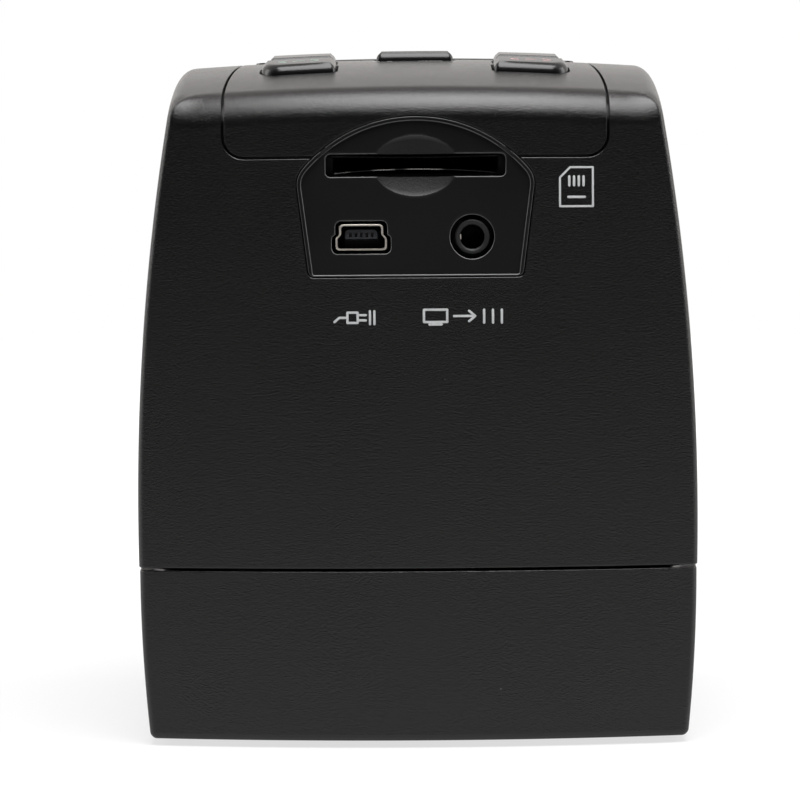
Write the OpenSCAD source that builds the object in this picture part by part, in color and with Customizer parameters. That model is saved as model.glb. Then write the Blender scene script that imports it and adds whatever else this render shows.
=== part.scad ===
// Film negative scanner: a free-standing box with a film tunnel, a top screen and five keys.
// The ports face -Y, the film tunnel runs along X, and Z is up. Units are millimetres.

/* [View] */
// Which sub-part to draw

/* [Body] */
// Width at the widest point of the bowed sides
body_w = 86; // [84:0.5:90]
// Depth from the front face to the rear face
body_d = 87; // [86:0.5:92]
// Height of the crest of the top above the table
body_h = 104; // [103:0.5:107]
// Wall thickness of both housings
wall = 2.4; // [2.2:0.1:2.6]
// Plan radius of the bowed front and rear
front_r = 210; // [190:5:260]
// Plan radius of the bowed sides
side_r = 500; // [400:10:700]
// Radius of the roundover between front face and top
round_r = 5.75; // [5:0.25:6.5]
// Radius of the side wall's vertical curve above the seam
arc_r = 353; // [330:1:420]
// Radius of the base wall's vertical curve below the seam
base_arc_r = 240; // [200:10:280]
// Radius of the sloped key area of the top
slope_r = 117.5; // [115:0.5:125]
// Crown radius of the top across the width
crown_r = 650; // [600:10:900]
// Height of the seam between base and upper housing
seam_z = 26.5; // [26.5:0.25:28]
// Step by which the base sits inside the upper housing
seam_step = 0.2; // [0.1:0.1:0.4]
// Gap between the two housings at the seam
seam_gap = 0.3; // [0.2:0.1:0.4]

/* [Top cover and keys] */
// Width of the cover strip
cover_w = 56.9; // [55.5:0.1:58]
// Thickness of the cover strip
cover_t = 1.4; // [1.2:0.1:1.5]
// Depth of the cover's lower seam below the crest
cover_drop = 17; // [16:0.25:18]
// Gap between the cover and the edge of its recess
cover_gap = 0.35; // [0.2:0.05:0.4]
// Height of the keys above the top surface
key_proud = 1.5; // [1:0.1:1.6]
// Width of a side key
key_w = 11.7; // [11:0.1:12]
// Length of a key down the slope
key_l = 6.9; // [6.5:0.1:7.1]
// Gap around a key in its hole
key_gap = 0.3; // [0.25:0.05:0.4]
// Distance from the centre line to the side keys
key_x = 17.6; // [17.4:0.1:18]
// Key travel before the switch closes
key_travel = 0.45; // [0.3:0.05:0.5]

/* [Screen] */
// Width of the window
window_w = 50.4; // [49:0.1:51]
// Length of the window
window_l = 40; // [38:0.5:41]
// Height of the window above the crest
window_proud = 0.15; // [0.1:0.05:0.3]
// Thickness of the window
window_t = 1.8; // [1.6:0.1:1.9]

/* [Ports] */
// Depth of the data port and the video jack below the crest
port_drop = 28.9; // [28.6:0.05:29]
// Depth of the card slot below the crest
slot_drop = 18.4; // [18:0.1:18.6]
// Width of the card slot
slot_w = 26.4; // [26:0.1:26.8]
// Height of the card slot
slot_h = 3.35; // [3.1:0.05:3.6]
// Distance from the centre line to the data port
data_x = 8; // [7.5:0.1:8.5]
// Distance from the centre line to the video jack
jack_x = 8.25; // [8:0.05:9]
// Bore of the video jack
jack_bore = 3.6; // [3.5:0.05:3.7]

/* [Film tunnel] */
// Width of the film tunnel along Y
tunnel_w = 60; // [56:1:61]
// Height of the film tunnel
tunnel_h = 7.5; // [7:0.25:8]
// Length of the picture aperture along X
aperture_x = 38; // [36:0.5:39]
// Width of the picture aperture along Y
aperture_y = 26; // [24:0.5:27]

/* [Hidden] */
$fn = 96;
// Fineness of the large shell arcs
shell_fn = 180;
front_y = -body_d / 2;
axis_y = front_y + 43.5;
cover_z = body_h - cover_drop;
port_z = body_h - port_drop;
slot_z = body_h - slot_drop;
far = 120;
// Half angles turned by the bowed walls, past their corners
bow_angle = 27;
flank_angle = 7.5;
// Small overlap that keeps tangent arcs crossing cleanly
blend = 0.02;
// Clearance between curved faces that lie on each other
seat_gap = 0.06;
// Corner radius of the cover strip
cover_corner = 3;
// Housing envelope
round_slope = 20.5;
slope_t = 42.5;
slope_y = front_y + slope_t;
slope_z = body_h - slope_r;
round_z = body_h - 11.7;
corner_r = 3.5;
corner_x = body_w / 2 - 6.8;
corner_lean = 15;
rear_lean = 3;
arc_z = 34.3;
base_z = 1;
base_top = seam_z - seam_gap;
base_round = 1;
// Fixings
screw_x = 24;
screw_in = 6.3;
screw_r = 1.25;
screw_clear = 0.03;
head_r = 2.4;
head_h = 1.8;
head_z = 5;
big_cross_l = 1.5;
big_cross_w = 0.3;
big_cross_deep = 0.9;
head_room = 0.4;
screw_pass = 0.15;
tube_r = 3.6;
tube_gap = 0.4;
boss_r = 3;
ear_t = 1.6;
ear_r = 2.2;
small_screw_r = 0.8;
small_head_r = 1.5;
small_head_h = 1.1;
cross_l = 1;
cross_w = 0.2;
cross_deep = 0.5;
boss_bottom = base_top + ear_t;
tongue_x = 19;
tongue_foot_x = 14;
tongue_gap = 0.2;
tongue_t = 1.2;
tongue_foot = 3;
boss_top = boss_bottom + 18;
board_t = 1.6;
// Film path
tunnel_floor = base_top;
tunnel_roof = seam_z + tunnel_h;
rail_t = 1.5;
rail_y = tunnel_w / 2 + rail_t;
gate_x = body_w / 2 - 4.6;
gate_t = 1.6;
stage_t = 1.5;
stage_y = tunnel_w / 2 + 2.5;
stage_z = tunnel_floor - stage_t;
stage_post_x = gate_x - 5.4;
stage_post_y = 24;
stage_post_r = 2.5;
diffuser_x = 46;
diffuser_y = 34;
diffuser_step = 1;
diffuser_gap = 0.1;
ledge = 2;
light_board_z = 7;
light_board_x = 54;
light_board_y = 42;
light_post_x = light_board_x / 2 - 2.5;
light_post_y = light_board_y / 2 - 2.5;
light_post_r = 2.2;
light_box_x = 50;
light_box_y = 38;
light_wall = 1.5;
led_pitch = 10;
led_x = 3.5;
led_y = 2.8;
led_t = 0.9;
lead_r = 0.55;
lead_gap = 0.3;
gate_top = tunnel_roof + gate_t;
detent_x = 30;
detent_y = -24;
detent_l = 12;
detent_w = 4;
detent_t = 0.3;
detent_r = 0.5;
// Optics
main_top = port_z - 1.9;
main_z = main_top - board_t;
shroud_top = main_z - 1.6;
shroud_r1 = 25.5;
shroud_r2 = 12.5;
shroud_t = 1.6;
shroud_flange_r = 30;
shroud_flange_t = 1.6;
shroud_screw_r = 28.1;
holder_flange_t = 2;
holder_r = 8.6;
holder_screw_y = 10.6;
holder_screw_l = 3.5;
barrel_r = 7.05;
barrel_bore = 5.5;
barrel_play = 0.05;
barrel_l = 13;
barrel_z = shroud_top - 4;
lens_r = 11.2;
lens_t = 2.2;
lens_pitch = 4.5;
sensor_z = shroud_top + 14.6;
sensor_x = 26;
sensor_y = 20;
sensor_ear_x = 10.4;
chip_s = 9;
chip_t = 1.2;
// Boards
board_front = front_y + 6.2;
main_x = 32.5;
main_rear = front_y + 30.3;
post_x = 29.5;
main_post_front = front_y + 8.7;
main_post_rear = front_y + 24.5;
post_r = 2.2;
display_top = slot_z - 1.7;
display_z = display_top - board_t;
display_x = 25;
display_rear = front_y + 31.8;
display_post_x = 22.5;
display_post_front = front_y + 9;
display_post_rear = front_y + 29;
keypad_top = body_h - 9.8;
keypad_z = keypad_top - board_t;
keypad_x = 30;
keypad_front = front_y + 11.5;
keypad_rear = front_y + 35.5;
keypad_post_r = 2;
keypad_post_in = 7;
keypad_post_out = 27.3;
keypad_post_front = keypad_front + 5;
keypad_post_rear = keypad_rear - 4;
// Depth at which roof posts end below the cover's inner face
post_sink = 0.6;
// Keys: distance down the top from the front face, and along X
key_t_front = 17.35;
key_t_rear = 25.2;
key_t_centre = 30.5;
key_shift = 0.2;
key_extra = 0.25;
key_big_r = 3;
key_small_r = 0.8;
key_flange = 1.2;
key_flange_t = 0.6;
key_seat = wall + 0.3;
key_stem_r = 1.6;
switch_s = 4.5;
switch_h = 1.8;
plunger_r = 1;
plunger_h = 0.7;
plunger_play = 0.1;
plunger_end = 0.05;
plunger_z = keypad_top + switch_h + plunger_h;
plunger_low = keypad_top + 1.2;
// Screen
window_front = front_y + 36;
window_top = body_h + window_proud;
window_low = window_top - window_t;
window_gap = 0.15;
module_x = 26.5;
module_front = front_y + 34.2;
module_l = 43;
module_t = 2.9;
module_top = body_h - 3.5;
glass_x = 24.5;
glass_front = 2.5;
glass_rear = module_l - 3.5;
glass_sink = 0.4;
bracket_t = 1.6;
bracket_hole_x = 18;
bracket_hole_front = 12;
bracket_hole_rear = 32;
bracket_z = module_top - module_t - bracket_t;
bracket_room = 1.8;
bracket_front = module_front + 6.5;
bracket_rear = module_front + 37.5;
bracket_ear = 2.4;
bracket_x = side_at(bracket_z) - wall - bracket_ear - bracket_room;
// Port panel
arch_low = body_h - 34.6;
arch_w = 31.3;
arch_lean = 7.33;
arch_r = 21.8;
arch_cz = arch_low + 1.45;
arch_fillet = 3.5;
arch_foot = 0.8;
panel_gap = 0.2;
panel_rim = 0.55;
panel_sink = 0.5;
panel_back = wall + 1.2;
panel_flange = 1.3;
scoop_w = 12.2;
scoop_h = 9.4;
scoop_deep = 1.6;
jack_hole_r = 3.25;
jack_nose_r = 2.52;
data_half = 3.75;
data_neck = 3.22;
data_tall = 1.9;
data_skin = 0.28;
data_len = 9;
tongue_half = 2.3;
tongue_top = 1.1;
root_half = 2.6;
root_t = 1.2;
pin_pitch = 0.8;
pin_w = 0.4;
pin_half = 0.1;
port_front = front_y + 0.6;
jack_half = 3.1;
tab_pitch = 3.5;
tab_l = 1.2;
tab_t = 0.5;
jack_front = board_front - 0.4;
// Card socket
socket_front = front_y + 4.6;
socket_l = 27;
bay_x = 12.2;
bay_h = 2.5;
frame_floor = 0.6;
frame_wall = 1.8;
channel_w = 2.8;
skin = 0.3;
leaf_pitch = 2.4;
leaf_w = 1;
leaf_l = 8;
leaf_rise = 0.7;
leaf_dip_r = 2.75;
shell_arc_r = 18;
shell_arc_y = 14;
ejector_l = 6;
ejector_w = 2;
ejector_leg = 0.4;
ejector_gap = 0.1;
spring_l = 6;
spring_r = 0.8;
spring_turns = 12;
bay_floor = display_top + frame_floor;
bay_top = bay_floor + bay_h;
frame_left = -(bay_x + channel_w + 1.4);
frame_right = bay_x + frame_wall;
ejector_x = -(bay_x + channel_w / 2 + 0.1);
ejector_y = socket_front + 6.3;
spring_y = ejector_y + ejector_l;
// Feet
foot_r = 4;
foot_x = 30;
foot_y = 29;
foot_sink = 0.8;
foot_gap = 0.1;
// Air slots in the floor
slot_pitch = 5;
vent_w = 1.8;
vent_l = 20;

// Half width of the bowed body at height z, on the centre plane.
function side_at(z) = body_w / 2 - arc_r + sqrt(pow(arc_r, 2) - pow(z - arc_z, 2));

// Centre of a key. side is -1, 0 or 1 and row is 0 (front), 1 (rear) or 2 (centre).
function key_t(row) = row == 0 ? key_t_front : row == 1 ? key_t_rear : key_t_centre;
function key_cx(side, row) = side * (row == 0 ? key_x : key_x - key_shift);
function key_half(row) = row == 2 ? key_w / 2 + key_extra : key_w / 2;

// Height of the top surface at x, a distance t behind the front face.
function roof_z(x, t) = body_h - pow(max(0, slope_t - t), 2) / (2 * slope_r) - x * x / (2 * crown_r);

// ---- shared shapes -------------------------------------------------------

// Rectangle from (x0, y0) to (x1, y1). The corner radii run low-left, low-right, high-right, high-left.
module plate4(x0, x1, y0, y1, r) {
    polygon([
        [x0 + r[0], y0], [x1 - r[1], y0], [x1, y0 + r[1]], [x1, y1 - r[2]],
        [x1 - r[2], y1], [x0 + r[3], y1], [x0, y1 - r[3]], [x0, y0 + r[0]]
    ]);
    translate([x0 + r[0], y0 + r[0]]) circle(r[0]);
    translate([x1 - r[1], y0 + r[1]]) circle(r[1]);
    translate([x1 - r[2], y1 - r[2]]) circle(r[2]);
    translate([x0 + r[3], y1 - r[3]]) circle(r[3]);
}

// Box given by its two corners.
module box(x0, x1, y0, y1, z0, z1) {
    translate([x0, y0, z0]) cube([x1 - x0, y1 - y0, z1 - z0]);
}

// Upright cylinder between two heights.
module post(x, y, r, z0, z1) {
    translate([x, y, z0]) cylinder(h = z1 - z0, r = r);
}

// Cylinder along +Y.
module pin_y(x, y, z, r, l) {
    translate([x, y, z]) rotate([-90, 0, 0]) cylinder(h = l, r = r);
}

// Front-view outline pushed along Y.
module along_y(y0, y1) {
    translate([0, y1, 0]) rotate([90, 0, 0]) linear_extrude(y1 - y0) children();
}

// Both sides of the centre plane.
module both_x() {
    children();
    mirror([1, 0, 0]) children();
}

module at_housing_screws() {
    for (y = [front_y + screw_in, -front_y - screw_in]) {
        for (x = [-screw_x, screw_x]) {
            translate([x, y, 0]) children();
        }
    }
}

// ---- housing envelope ----------------------------------------------------

module front_profile(inset, z0) {
    c = [front_r - round_r, round_z];
    p = c + (round_r - inset) * [sin(round_slope), cos(round_slope)];
    q = p + 30 * [-cos(round_slope), sin(round_slope)];
    translate(c) circle(round_r - inset);
    polygon([[front_r - far, z0], [front_r - inset, z0], [front_r - inset, round_z], p, q,
        [front_r - far, q[1]]]);
}

module rear_profile(inset, z0) {
    c = [front_r - round_r, body_h - round_r];
    p = c + (round_r - inset) * [sin(rear_lean), cos(rear_lean)];
    q = p + 60 * [-cos(rear_lean), sin(rear_lean)];
    translate(c) circle(round_r - inset);
    polygon([[front_r - far, z0], [front_r - inset, z0], [front_r - inset, c[1]], p, q, [front_r - far,
        q[1]]]);
}

module side_profile(inset, z0) {
    intersection() {
        translate([side_r - arc_r, arc_z]) circle(arc_r - inset);
        translate([side_r - far, z0]) square([far + 10, body_h + 6 - z0]);
    }
}

// Crown, corner fillets and leaning flanks of the top, as (height, x).
module top_profile(inset) {
    fx = corner_x - corner_r;
    fh = slope_r - crown_r + sqrt(pow(crown_r - corner_r, 2) - fx * fx);
    k = (crown_r - inset) / (crown_r - corner_r);
    lt = [fh + (corner_r - inset) * sin(corner_lean), fx + (corner_r - inset) * cos(corner_lean)];
    le = lt + 24 * [-cos(corner_lean), sin(corner_lean)];
    if (inset < corner_r) {
        translate([fh, fx]) circle(corner_r - inset);
        translate([fh, -fx]) circle(corner_r - inset);
    }
    polygon([[le[0], -le[1]], [lt[0], -lt[1]], [fh, -fx], [fh, fx], lt, le]);
    intersection() {
        translate([slope_r - crown_r, 0]) circle(crown_r - inset);
        translate([le[0], -fx * k]) square([far / 2, 2 * fx * k]);
    }
}

module front_rev(inset, z0, $fn = shell_fn) {
    translate([0, front_r + front_y, 0]) rotate([0, 0, -90 - bow_angle])
        rotate_extrude(angle = 2 * bow_angle) front_profile(inset, z0);
}

module rear_rev(inset, z0, $fn = shell_fn) {
    translate([0, -front_y - front_r, 0]) rotate([0, 0, 90 - bow_angle])
        rotate_extrude(angle = 2 * bow_angle) rear_profile(inset, z0);
}

module side_rev(inset, z0, $fn = shell_fn) {
    translate([body_w / 2 - side_r, 0, 0]) rotate([0, 0, -flank_angle])
        rotate_extrude(angle = 2 * flank_angle) side_profile(inset, z0);
}

module top_front(inset, $fn = shell_fn) {
    translate([0, slope_y, slope_z]) rotate([90, 0, 90]) rotate([0, 0, 90]) rotate_extrude(angle = 26)
        top_profile(inset);
}

module top_cap(inset, z0) {
    top_front(inset);
    translate([0, slope_y, slope_z]) rotate([0, -90, -90]) linear_extrude(60, $fn = shell_fn)
        top_profile(inset);
    box(-60, 60, -60, 60, z0, body_h - 19);
}

// Front, top and rear surfaces, without the side walls.
module spine(inset, z0) {
    intersection() {
        front_rev(inset, z0);
        rear_rev(inset, z0);
        top_cap(inset, z0);
    }
}

module envelope(inset, z0) {
    intersection() {
        front_rev(inset, z0);
        rear_rev(inset, z0);
        side_rev(inset, z0);
        mirror([1, 0, 0]) side_rev(inset, z0);
        top_cap(inset, z0);
    }
}

// ---- base envelope -------------------------------------------------------

module base_front_profile(inset, z0, z1) {
    r = front_r - seam_step - inset;
    e = max(base_round - inset, 0);
    if (e > 0) {
        translate([r - e, z0 + e]) circle(e + blend / 4);
    }
    polygon([[front_r - far, z0], [r - e, z0], [r, z0 + e], [r, z1], [front_r - far, z1]]);
}

module base_side_profile(inset, z0, z1) {
    e = max(base_round - inset, 0);
    rr = base_arc_r - inset;
    cx = side_r - seam_step - base_arc_r;
    ez = z0 + e;
    ex = cx + sqrt(pow(rr - e, 2) - pow(seam_z - ez, 2));
    tz = seam_z + (ez - seam_z) * rr / (rr - e);
    if (e > 0) {
        translate([ex, ez]) circle(e + blend / 4);
        translate([side_r - far, z0]) square([ex - side_r + far, e * 2]);
    }
    intersection() {
        translate([cx, seam_z]) circle(rr);
        translate([side_r - far, tz]) square([far, z1 - tz]);
    }
}

module base_side(inset, z0, z1, $fn = shell_fn) {
    translate([body_w / 2 - side_r, 0, 0]) rotate([0, 0, -flank_angle])
        rotate_extrude(angle = 2 * flank_angle) base_side_profile(inset, z0, z1);
}

module base_front(inset, z0, z1, $fn = shell_fn) {
    translate([0, front_r + front_y, 0]) rotate([0, 0, -90 - bow_angle])
        rotate_extrude(angle = 2 * bow_angle) base_front_profile(inset, z0, z1);
}

module base_envelope(inset, z0, z1) {
    intersection() {
        base_front(inset, z0, z1);
        mirror([0, 1, 0]) base_front(inset, z0, z1);
        base_side(inset, z0, z1);
        mirror([1, 0, 0]) base_side(inset, z0, z1);
    }
}

// ---- outlines on the shell -----------------------------------------------

// Arch of the port panel in front view, grown by g.
module arch(g) {
    r = arch_fillet + g;
    low = arch_low - g;
    half = arch_w / 2;
    foot = max(arch_foot + g, 0.1);
    p0 = [half, arch_low] + arch_fillet * [-cos(arch_lean), sin(arch_lean)];
    d = [sin(arch_lean), cos(arch_lean)];
    w = p0 - [0, arch_cz];
    b = w * d;
    s = -b + sqrt(b * b - w * w + pow(arch_r - arch_fillet, 2));
    c = p0 + s * d;
    side = c + r * [cos(arch_lean), -sin(arch_lean)];
    foot_x = half + (foot - g * sin(arch_lean)) * tan(arch_lean) + (g - foot) / cos(arch_lean);
    f = [foot_x, low + foot];
    ft = f + foot * [cos(arch_lean), -sin(arch_lean)];
    u = (c - [0, arch_cz]) / norm(c - [0, arch_cz]);
    reach = 2 * arch_r;
    for (m = [-1, 1]) {
        translate([m * c[0], c[1]]) circle(r + blend);
        translate([m * f[0], f[1]]) circle(foot + blend);
    }
    polygon([
        [-f[0], low], [f[0], low], ft, side, c, [0, c[1]],
        [-c[0], c[1]], [-side[0], side[1]], [-ft[0], ft[1]]
    ]);
    intersection() {
        translate([0, arch_cz]) circle(arch_r + g, $fn = shell_fn);
        polygon([[0, arch_cz], [0, arch_cz] + reach * u, [0, arch_cz + reach], [-reach * u[0],
            arch_cz + reach * u[1]]]);
    }
}

// Cover strip in front view, grown by g.
module strip(g) {
    half = cover_w / 2 + g;
    r = cover_corner + g;
    plate4(-half, half, cover_z - g, body_h + 5, [r, r, 1, 1]);
}

// One key outline in plan, grown by g.
module key_plan(side, row, g) {
    x = key_cx(side, row);
    half = key_half(row);
    y = front_y + key_t(row);
    big = key_big_r + g;
    small = key_small_r + g;
    r = row == 0 ? (side < 0 ? [big, small, small, small] : [small, big, small, small]) : [small,
        small, small, small];
    plate4(x - half - g, x + half + g, y - key_l / 2 - g, y + key_l / 2 + g, r);
}

module all_keys(g) {
    for (side = [-1, 1]) {
        key_plan(side, 0, g);
        key_plan(side, 1, g);
    }
    key_plan(0, 2, g);
}

module window_plan(g, r) {
    half = window_w / 2 + g;
    plate4(-half, half, window_front - g, window_front + window_l + g, [r, r, r, r]);
}

// Data port outline in front view about its own centre: wide below, narrow above.
module data_outline(gx, gz) {
    polygon([
        [-data_half - gx + 0.5, -data_tall - gz], [data_half + gx - 0.5, -data_tall - gz],
        [data_half + gx, -data_tall - gz + 0.5], [data_half + gx, -0.25],
        [data_neck + gx, 0.35 + gz / 2], [data_neck + gx, data_tall + gz - 0.4],
        [data_neck + gx - 0.4, data_tall + gz], [-data_neck - gx + 0.4, data_tall + gz],
        [-data_neck - gx, data_tall + gz - 0.4], [-data_neck - gx, 0.35 + gz / 2],
        [-data_half - gx, -0.25], [-data_half - gx, -data_tall - gz + 0.5]
    ]);
}

// ---- shell parts ---------------------------------------------------------

module upper_housing() color([0.09, 0.09, 0.1]) {
    difference() {
        envelope(0, seam_z);
        envelope(wall, seam_z - 1);
        // recess for the cover strip
        difference() {
            along_y(-60, 60) strip(cover_gap);
            spine(cover_t + seat_gap, seam_z - 2);
        }
        // port panel opening
        along_y(front_y - 2, front_y + 12) arch(panel_gap);
        // key holes, window pocket and view opening
        translate([0, 0, body_h - 14]) linear_extrude(20) all_keys(key_gap);
        translate([0, 0, window_low]) linear_extrude(5) window_plan(window_gap, 1.5);
        translate([0, 0, body_h - 8]) linear_extrude(12) window_plan(-1.5, 1);
        // film tunnel
        box(-60, 60, axis_y - tunnel_w / 2, axis_y + tunnel_w / 2, seam_z - 1, tunnel_roof);
    }
    // bosses for the long housing screws
    difference() {
        union() {
            at_housing_screws() post(0, 0, boss_r, boss_bottom, boss_top);
            both_x() box(screw_x - 1, screw_x + 1, front_y + 3.2, front_y + screw_in - 1, boss_bottom,
                boss_top + 8);
            both_x() box(screw_x - 1, screw_x + 1, -front_y - screw_in + 1, -front_y - 3.2,
                boss_bottom, boss_top + 8);
        }
        at_housing_screws() post(0, 0, screw_r + screw_clear, boss_bottom - 1, boss_top - 2);
    }
    // wall posts under the front edge of the main board
    difference() {
        union() {
            both_x() post(post_x, main_post_front, post_r, main_z - 12, main_z);
            both_x() box(post_x - 1, post_x + 1, front_y + 3.7, main_post_front - 1, main_z - 14,
                main_z - 2);
        }
        both_x() post(post_x, main_post_front, small_screw_r + screw_clear, main_z - 8, main_z + 1);
    }
    // roof bosses for the keypad board
    difference() {
        union() {
            both_x() keypad_post(keypad_post_in, keypad_post_front);
            both_x() keypad_post(keypad_post_out, keypad_post_rear);
        }
        at_keypad_screws() post(0, 0, small_screw_r + screw_clear, keypad_top - 1, keypad_top + 3);
    }
    // roof bosses for the screen bracket
    difference() {
        at_bracket_screws() post(0, 0, bracket_ear, bracket_z + bracket_t, roof_z(bracket_x,
            slope_t) - wall / 2);
        at_bracket_screws() post(0, 0, small_screw_r + screw_clear, bracket_z, bracket_z + bracket_t + 3);
    }
}

module keypad_post(x, y) {
    post(x, y, keypad_post_r, keypad_top, roof_z(x, y - front_y) - cover_t - post_sink);
}

module at_keypad_screws() {
    for (s = [-1, 1]) {
        translate([s * keypad_post_in, keypad_post_front, 0]) children();
        translate([s * keypad_post_out, keypad_post_rear, 0]) children();
    }
}

module at_bracket_screws() {
    for (x = [-bracket_x, bracket_x]) {
        for (y = [bracket_front, bracket_rear]) {
            translate([x, y, 0]) children();
        }
    }
}

module top_cover() color([0.1, 0.1, 0.11]) {
    difference() {
        intersection() {
            spine(0, seam_z);
            along_y(-60, 60) strip(0);
        }
        spine(cover_t, seam_z - 1);
        along_y(front_y - 2, front_y + 12) arch(panel_gap);
        translate([0, 0, body_h - 14]) linear_extrude(20) all_keys(key_gap);
        translate([0, 0, body_h - 8]) linear_extrude(12) window_plan(window_gap, 1.5);
    }
}

module base_housing() color([0.09, 0.09, 0.1]) {
    difference() {
        union() {
            difference() {
                base_envelope(0, base_z, base_top);
                base_envelope(wall, base_z + wall, base_top + 1);
            }
            at_housing_screws() post(0, 0, tube_r, base_z + 1, base_top);
            // posts for the stage plate and the backlight board
            for (x = [-stage_post_x, stage_post_x]) {
                for (y = [-stage_post_y, stage_post_y]) {
                    post(x, axis_y + y, stage_post_r, base_z + 1, stage_z);
                }
            }
            at_light_posts() post(0, 0, light_post_r, base_z + 1, light_board_z);
            // tongues that locate the upper housing
            tongue();
            mirror([0, 1, 0]) tongue();
        }
        at_housing_screws() post(0, 0, head_r + head_room, base_z - 1, head_z);
        at_housing_screws() post(0, 0, screw_r + screw_pass, head_z - 1, base_top + 1);
        at_light_posts() post(0, 0, small_screw_r + screw_clear, base_z + wall, light_board_z + 1);
        for (x = [-foot_x, foot_x]) {
            for (y = [-foot_y, foot_y]) {
                post(x, y, foot_r + foot_gap, base_z - 1, base_z + foot_sink);
            }
        }
        // air slots in the floor
        for (i = [-3:3]) {
            x = i * slot_pitch;
            box(x - vent_w / 2, x + vent_w / 2, -vent_l / 2, vent_l / 2, base_z - 1, base_z + wall + 1);
        }
    }
}

module tongue() {
    intersection() {
        difference() {
            front_rev(wall + tongue_gap, base_top - 6);
            front_rev(wall + tongue_gap + tongue_t, base_top - 8);
        }
        box(-tongue_x, tongue_x, front_y - 1, front_y + 8, base_top - tongue_foot, base_top + 2);
    }
    box(-tongue_foot_x, tongue_foot_x, front_y + 1.5, front_y + wall + 1, base_top - tongue_foot, base_top);
}

module at_light_posts() {
    for (x = [-light_post_x, light_post_x]) {
        for (y = [-light_post_y, light_post_y]) {
            translate([x, axis_y + y, 0]) children();
        }
    }
}

module port_panel() color([0.08, 0.08, 0.09]) {
    difference() {
        union() {
            intersection() {
                along_y(front_y - 2, front_y + 12) arch(0);
                front_rev(0, arch_low - 5);
            }
            intersection() {
                along_y(front_y - 2, front_y + 12) arch(panel_flange);
                front_rev(wall + seat_gap, arch_low - 5);
            }
        }
        front_rev(panel_back, arch_low - 10);
        // floor sunk inside the rim
        difference() {
            along_y(front_y - 2, front_y + 12) arch(-panel_rim);
            front_rev(panel_sink, arch_low - 5);
        }
        // card slot
        along_y(front_y - 2, front_y + 12) {
            plate4(-slot_w / 2, slot_w / 2, slot_z - slot_h / 2, slot_z + slot_h / 2, [0.7, 0.7, 0.7, 0.7]);
        }
        scoop();
        along_y(front_y - 2, front_y + 12) translate([-data_x, port_z]) data_outline(0.65, 0.5);
        pin_y(jack_x, front_y - 2, port_z, jack_hole_r, 12);
    }
}

// Thumb scoop: a spindle-shaped dish across the card slot.
module scoop() {
    rv = (pow(scoop_h / 2, 2) + pow(scoop_deep, 2)) / (2 * scoop_deep);
    rh = (pow(scoop_w / 2, 2) + pow(scoop_deep, 2)) / (2 * scoop_deep);
    translate([0, front_y + panel_sink + scoop_deep - rv, slot_z]) rotate([0, 90, 0]) rotate_extrude()
        intersection() {
        translate([rv - rh, 0]) circle(rh);
        translate([0, -rh]) square([rv + 1, 2 * rh]);
    }
}

module screen_window() color([0.03, 0.03, 0.04]) {
    translate([0, 0, window_low]) linear_extrude(window_t) window_plan(0, 1.4);
}

module screen_module() color([0.25, 0.26, 0.28]) {
    y0 = module_front;
    difference() {
        box(-module_x, module_x, y0, y0 + module_l, module_top - module_t, module_top);
        box(-glass_x, glass_x, y0 + glass_front, y0 + glass_rear, module_top - glass_sink, module_top + 1);
    }
}

module screen_bracket() color([0.55, 0.56, 0.58]) {
    z1 = bracket_z + bracket_t;
    difference() {
        union() {
            box(-module_x, module_x, module_front, module_front + module_l, bracket_z, z1);
            at_bracket_screws() post(0, 0, bracket_ear, bracket_z, z1);
            for (y = [bracket_front, bracket_rear]) {
                box(-bracket_x, bracket_x, y - bracket_ear, y + bracket_ear, bracket_z, z1);
            }
        }
        box(-bracket_hole_x, bracket_hole_x, module_front + bracket_hole_front,
            module_front + bracket_hole_rear, bracket_z - 1, z1 + 1);
        at_bracket_screws() post(0, 0, small_screw_r + screw_clear, bracket_z - 1, z1 + 1);
    }
}

module bracket_screws() color([0.7, 0.7, 0.72]) {
    at_bracket_screws() small_screw(bracket_z, 4);
}

// Small pan-head screw pointing up, its head under height z.
module small_screw(z, l) {
    difference() {
        union() {
            post(0, 0, small_head_r, z - small_head_h, z);
            post(0, 0, small_screw_r, z - 0.1, z + l);
        }
        for (a = [0, 90]) {
            rotate([0, 0, a]) box(-cross_l, cross_l, -cross_w, cross_w, z - small_head_h - 1,
                z - small_head_h + cross_deep);
        }
    }
}

// ---- keys ----------------------------------------------------------------

module key_cap(side, row) {
    t = key_t(row);
    x = key_cx(side, row);
    half = key_half(row) + key_flange;
    y = front_y + t;
    difference() {
        intersection() {
            top_front(-key_proud);
            translate([0, 0, body_h - 12]) linear_extrude(20) key_plan(side, row, 0);
        }
        top_front(key_seat + key_flange_t);
    }
    intersection() {
        difference() {
            top_front(key_seat);
            top_front(key_seat + key_flange_t);
        }
        box(x - half, x + half, y - key_l / 2, y + key_l / 2, body_h - 14, body_h + 4);
    }
    post(x, y, key_stem_r, plunger_z, roof_z(x, t) - key_seat - 0.2);
}

module key_front_left() color([0.12, 0.12, 0.13]) key_cap(-1, 0);
module key_front_right() color([0.12, 0.12, 0.13]) key_cap(1, 0);
module key_rear_left() color([0.12, 0.12, 0.13]) key_cap(-1, 1);
module key_rear_right() color([0.12, 0.12, 0.13]) key_cap(1, 1);
module key_centre() color([0.12, 0.12, 0.13]) key_cap(0, 2);

module plunger(side, row) {
    post(key_cx(side, row), front_y + key_t(row), plunger_r, plunger_low + key_travel + plunger_end,
        plunger_z);
}

module plunger_front_left() color([0.2, 0.2, 0.2]) plunger(-1, 0);
module plunger_front_right() color([0.2, 0.2, 0.2]) plunger(1, 0);
module plunger_rear_left() color([0.2, 0.2, 0.2]) plunger(-1, 1);
module plunger_rear_right() color([0.2, 0.2, 0.2]) plunger(1, 1);
module plunger_centre() color([0.2, 0.2, 0.2]) plunger(0, 2);

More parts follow.
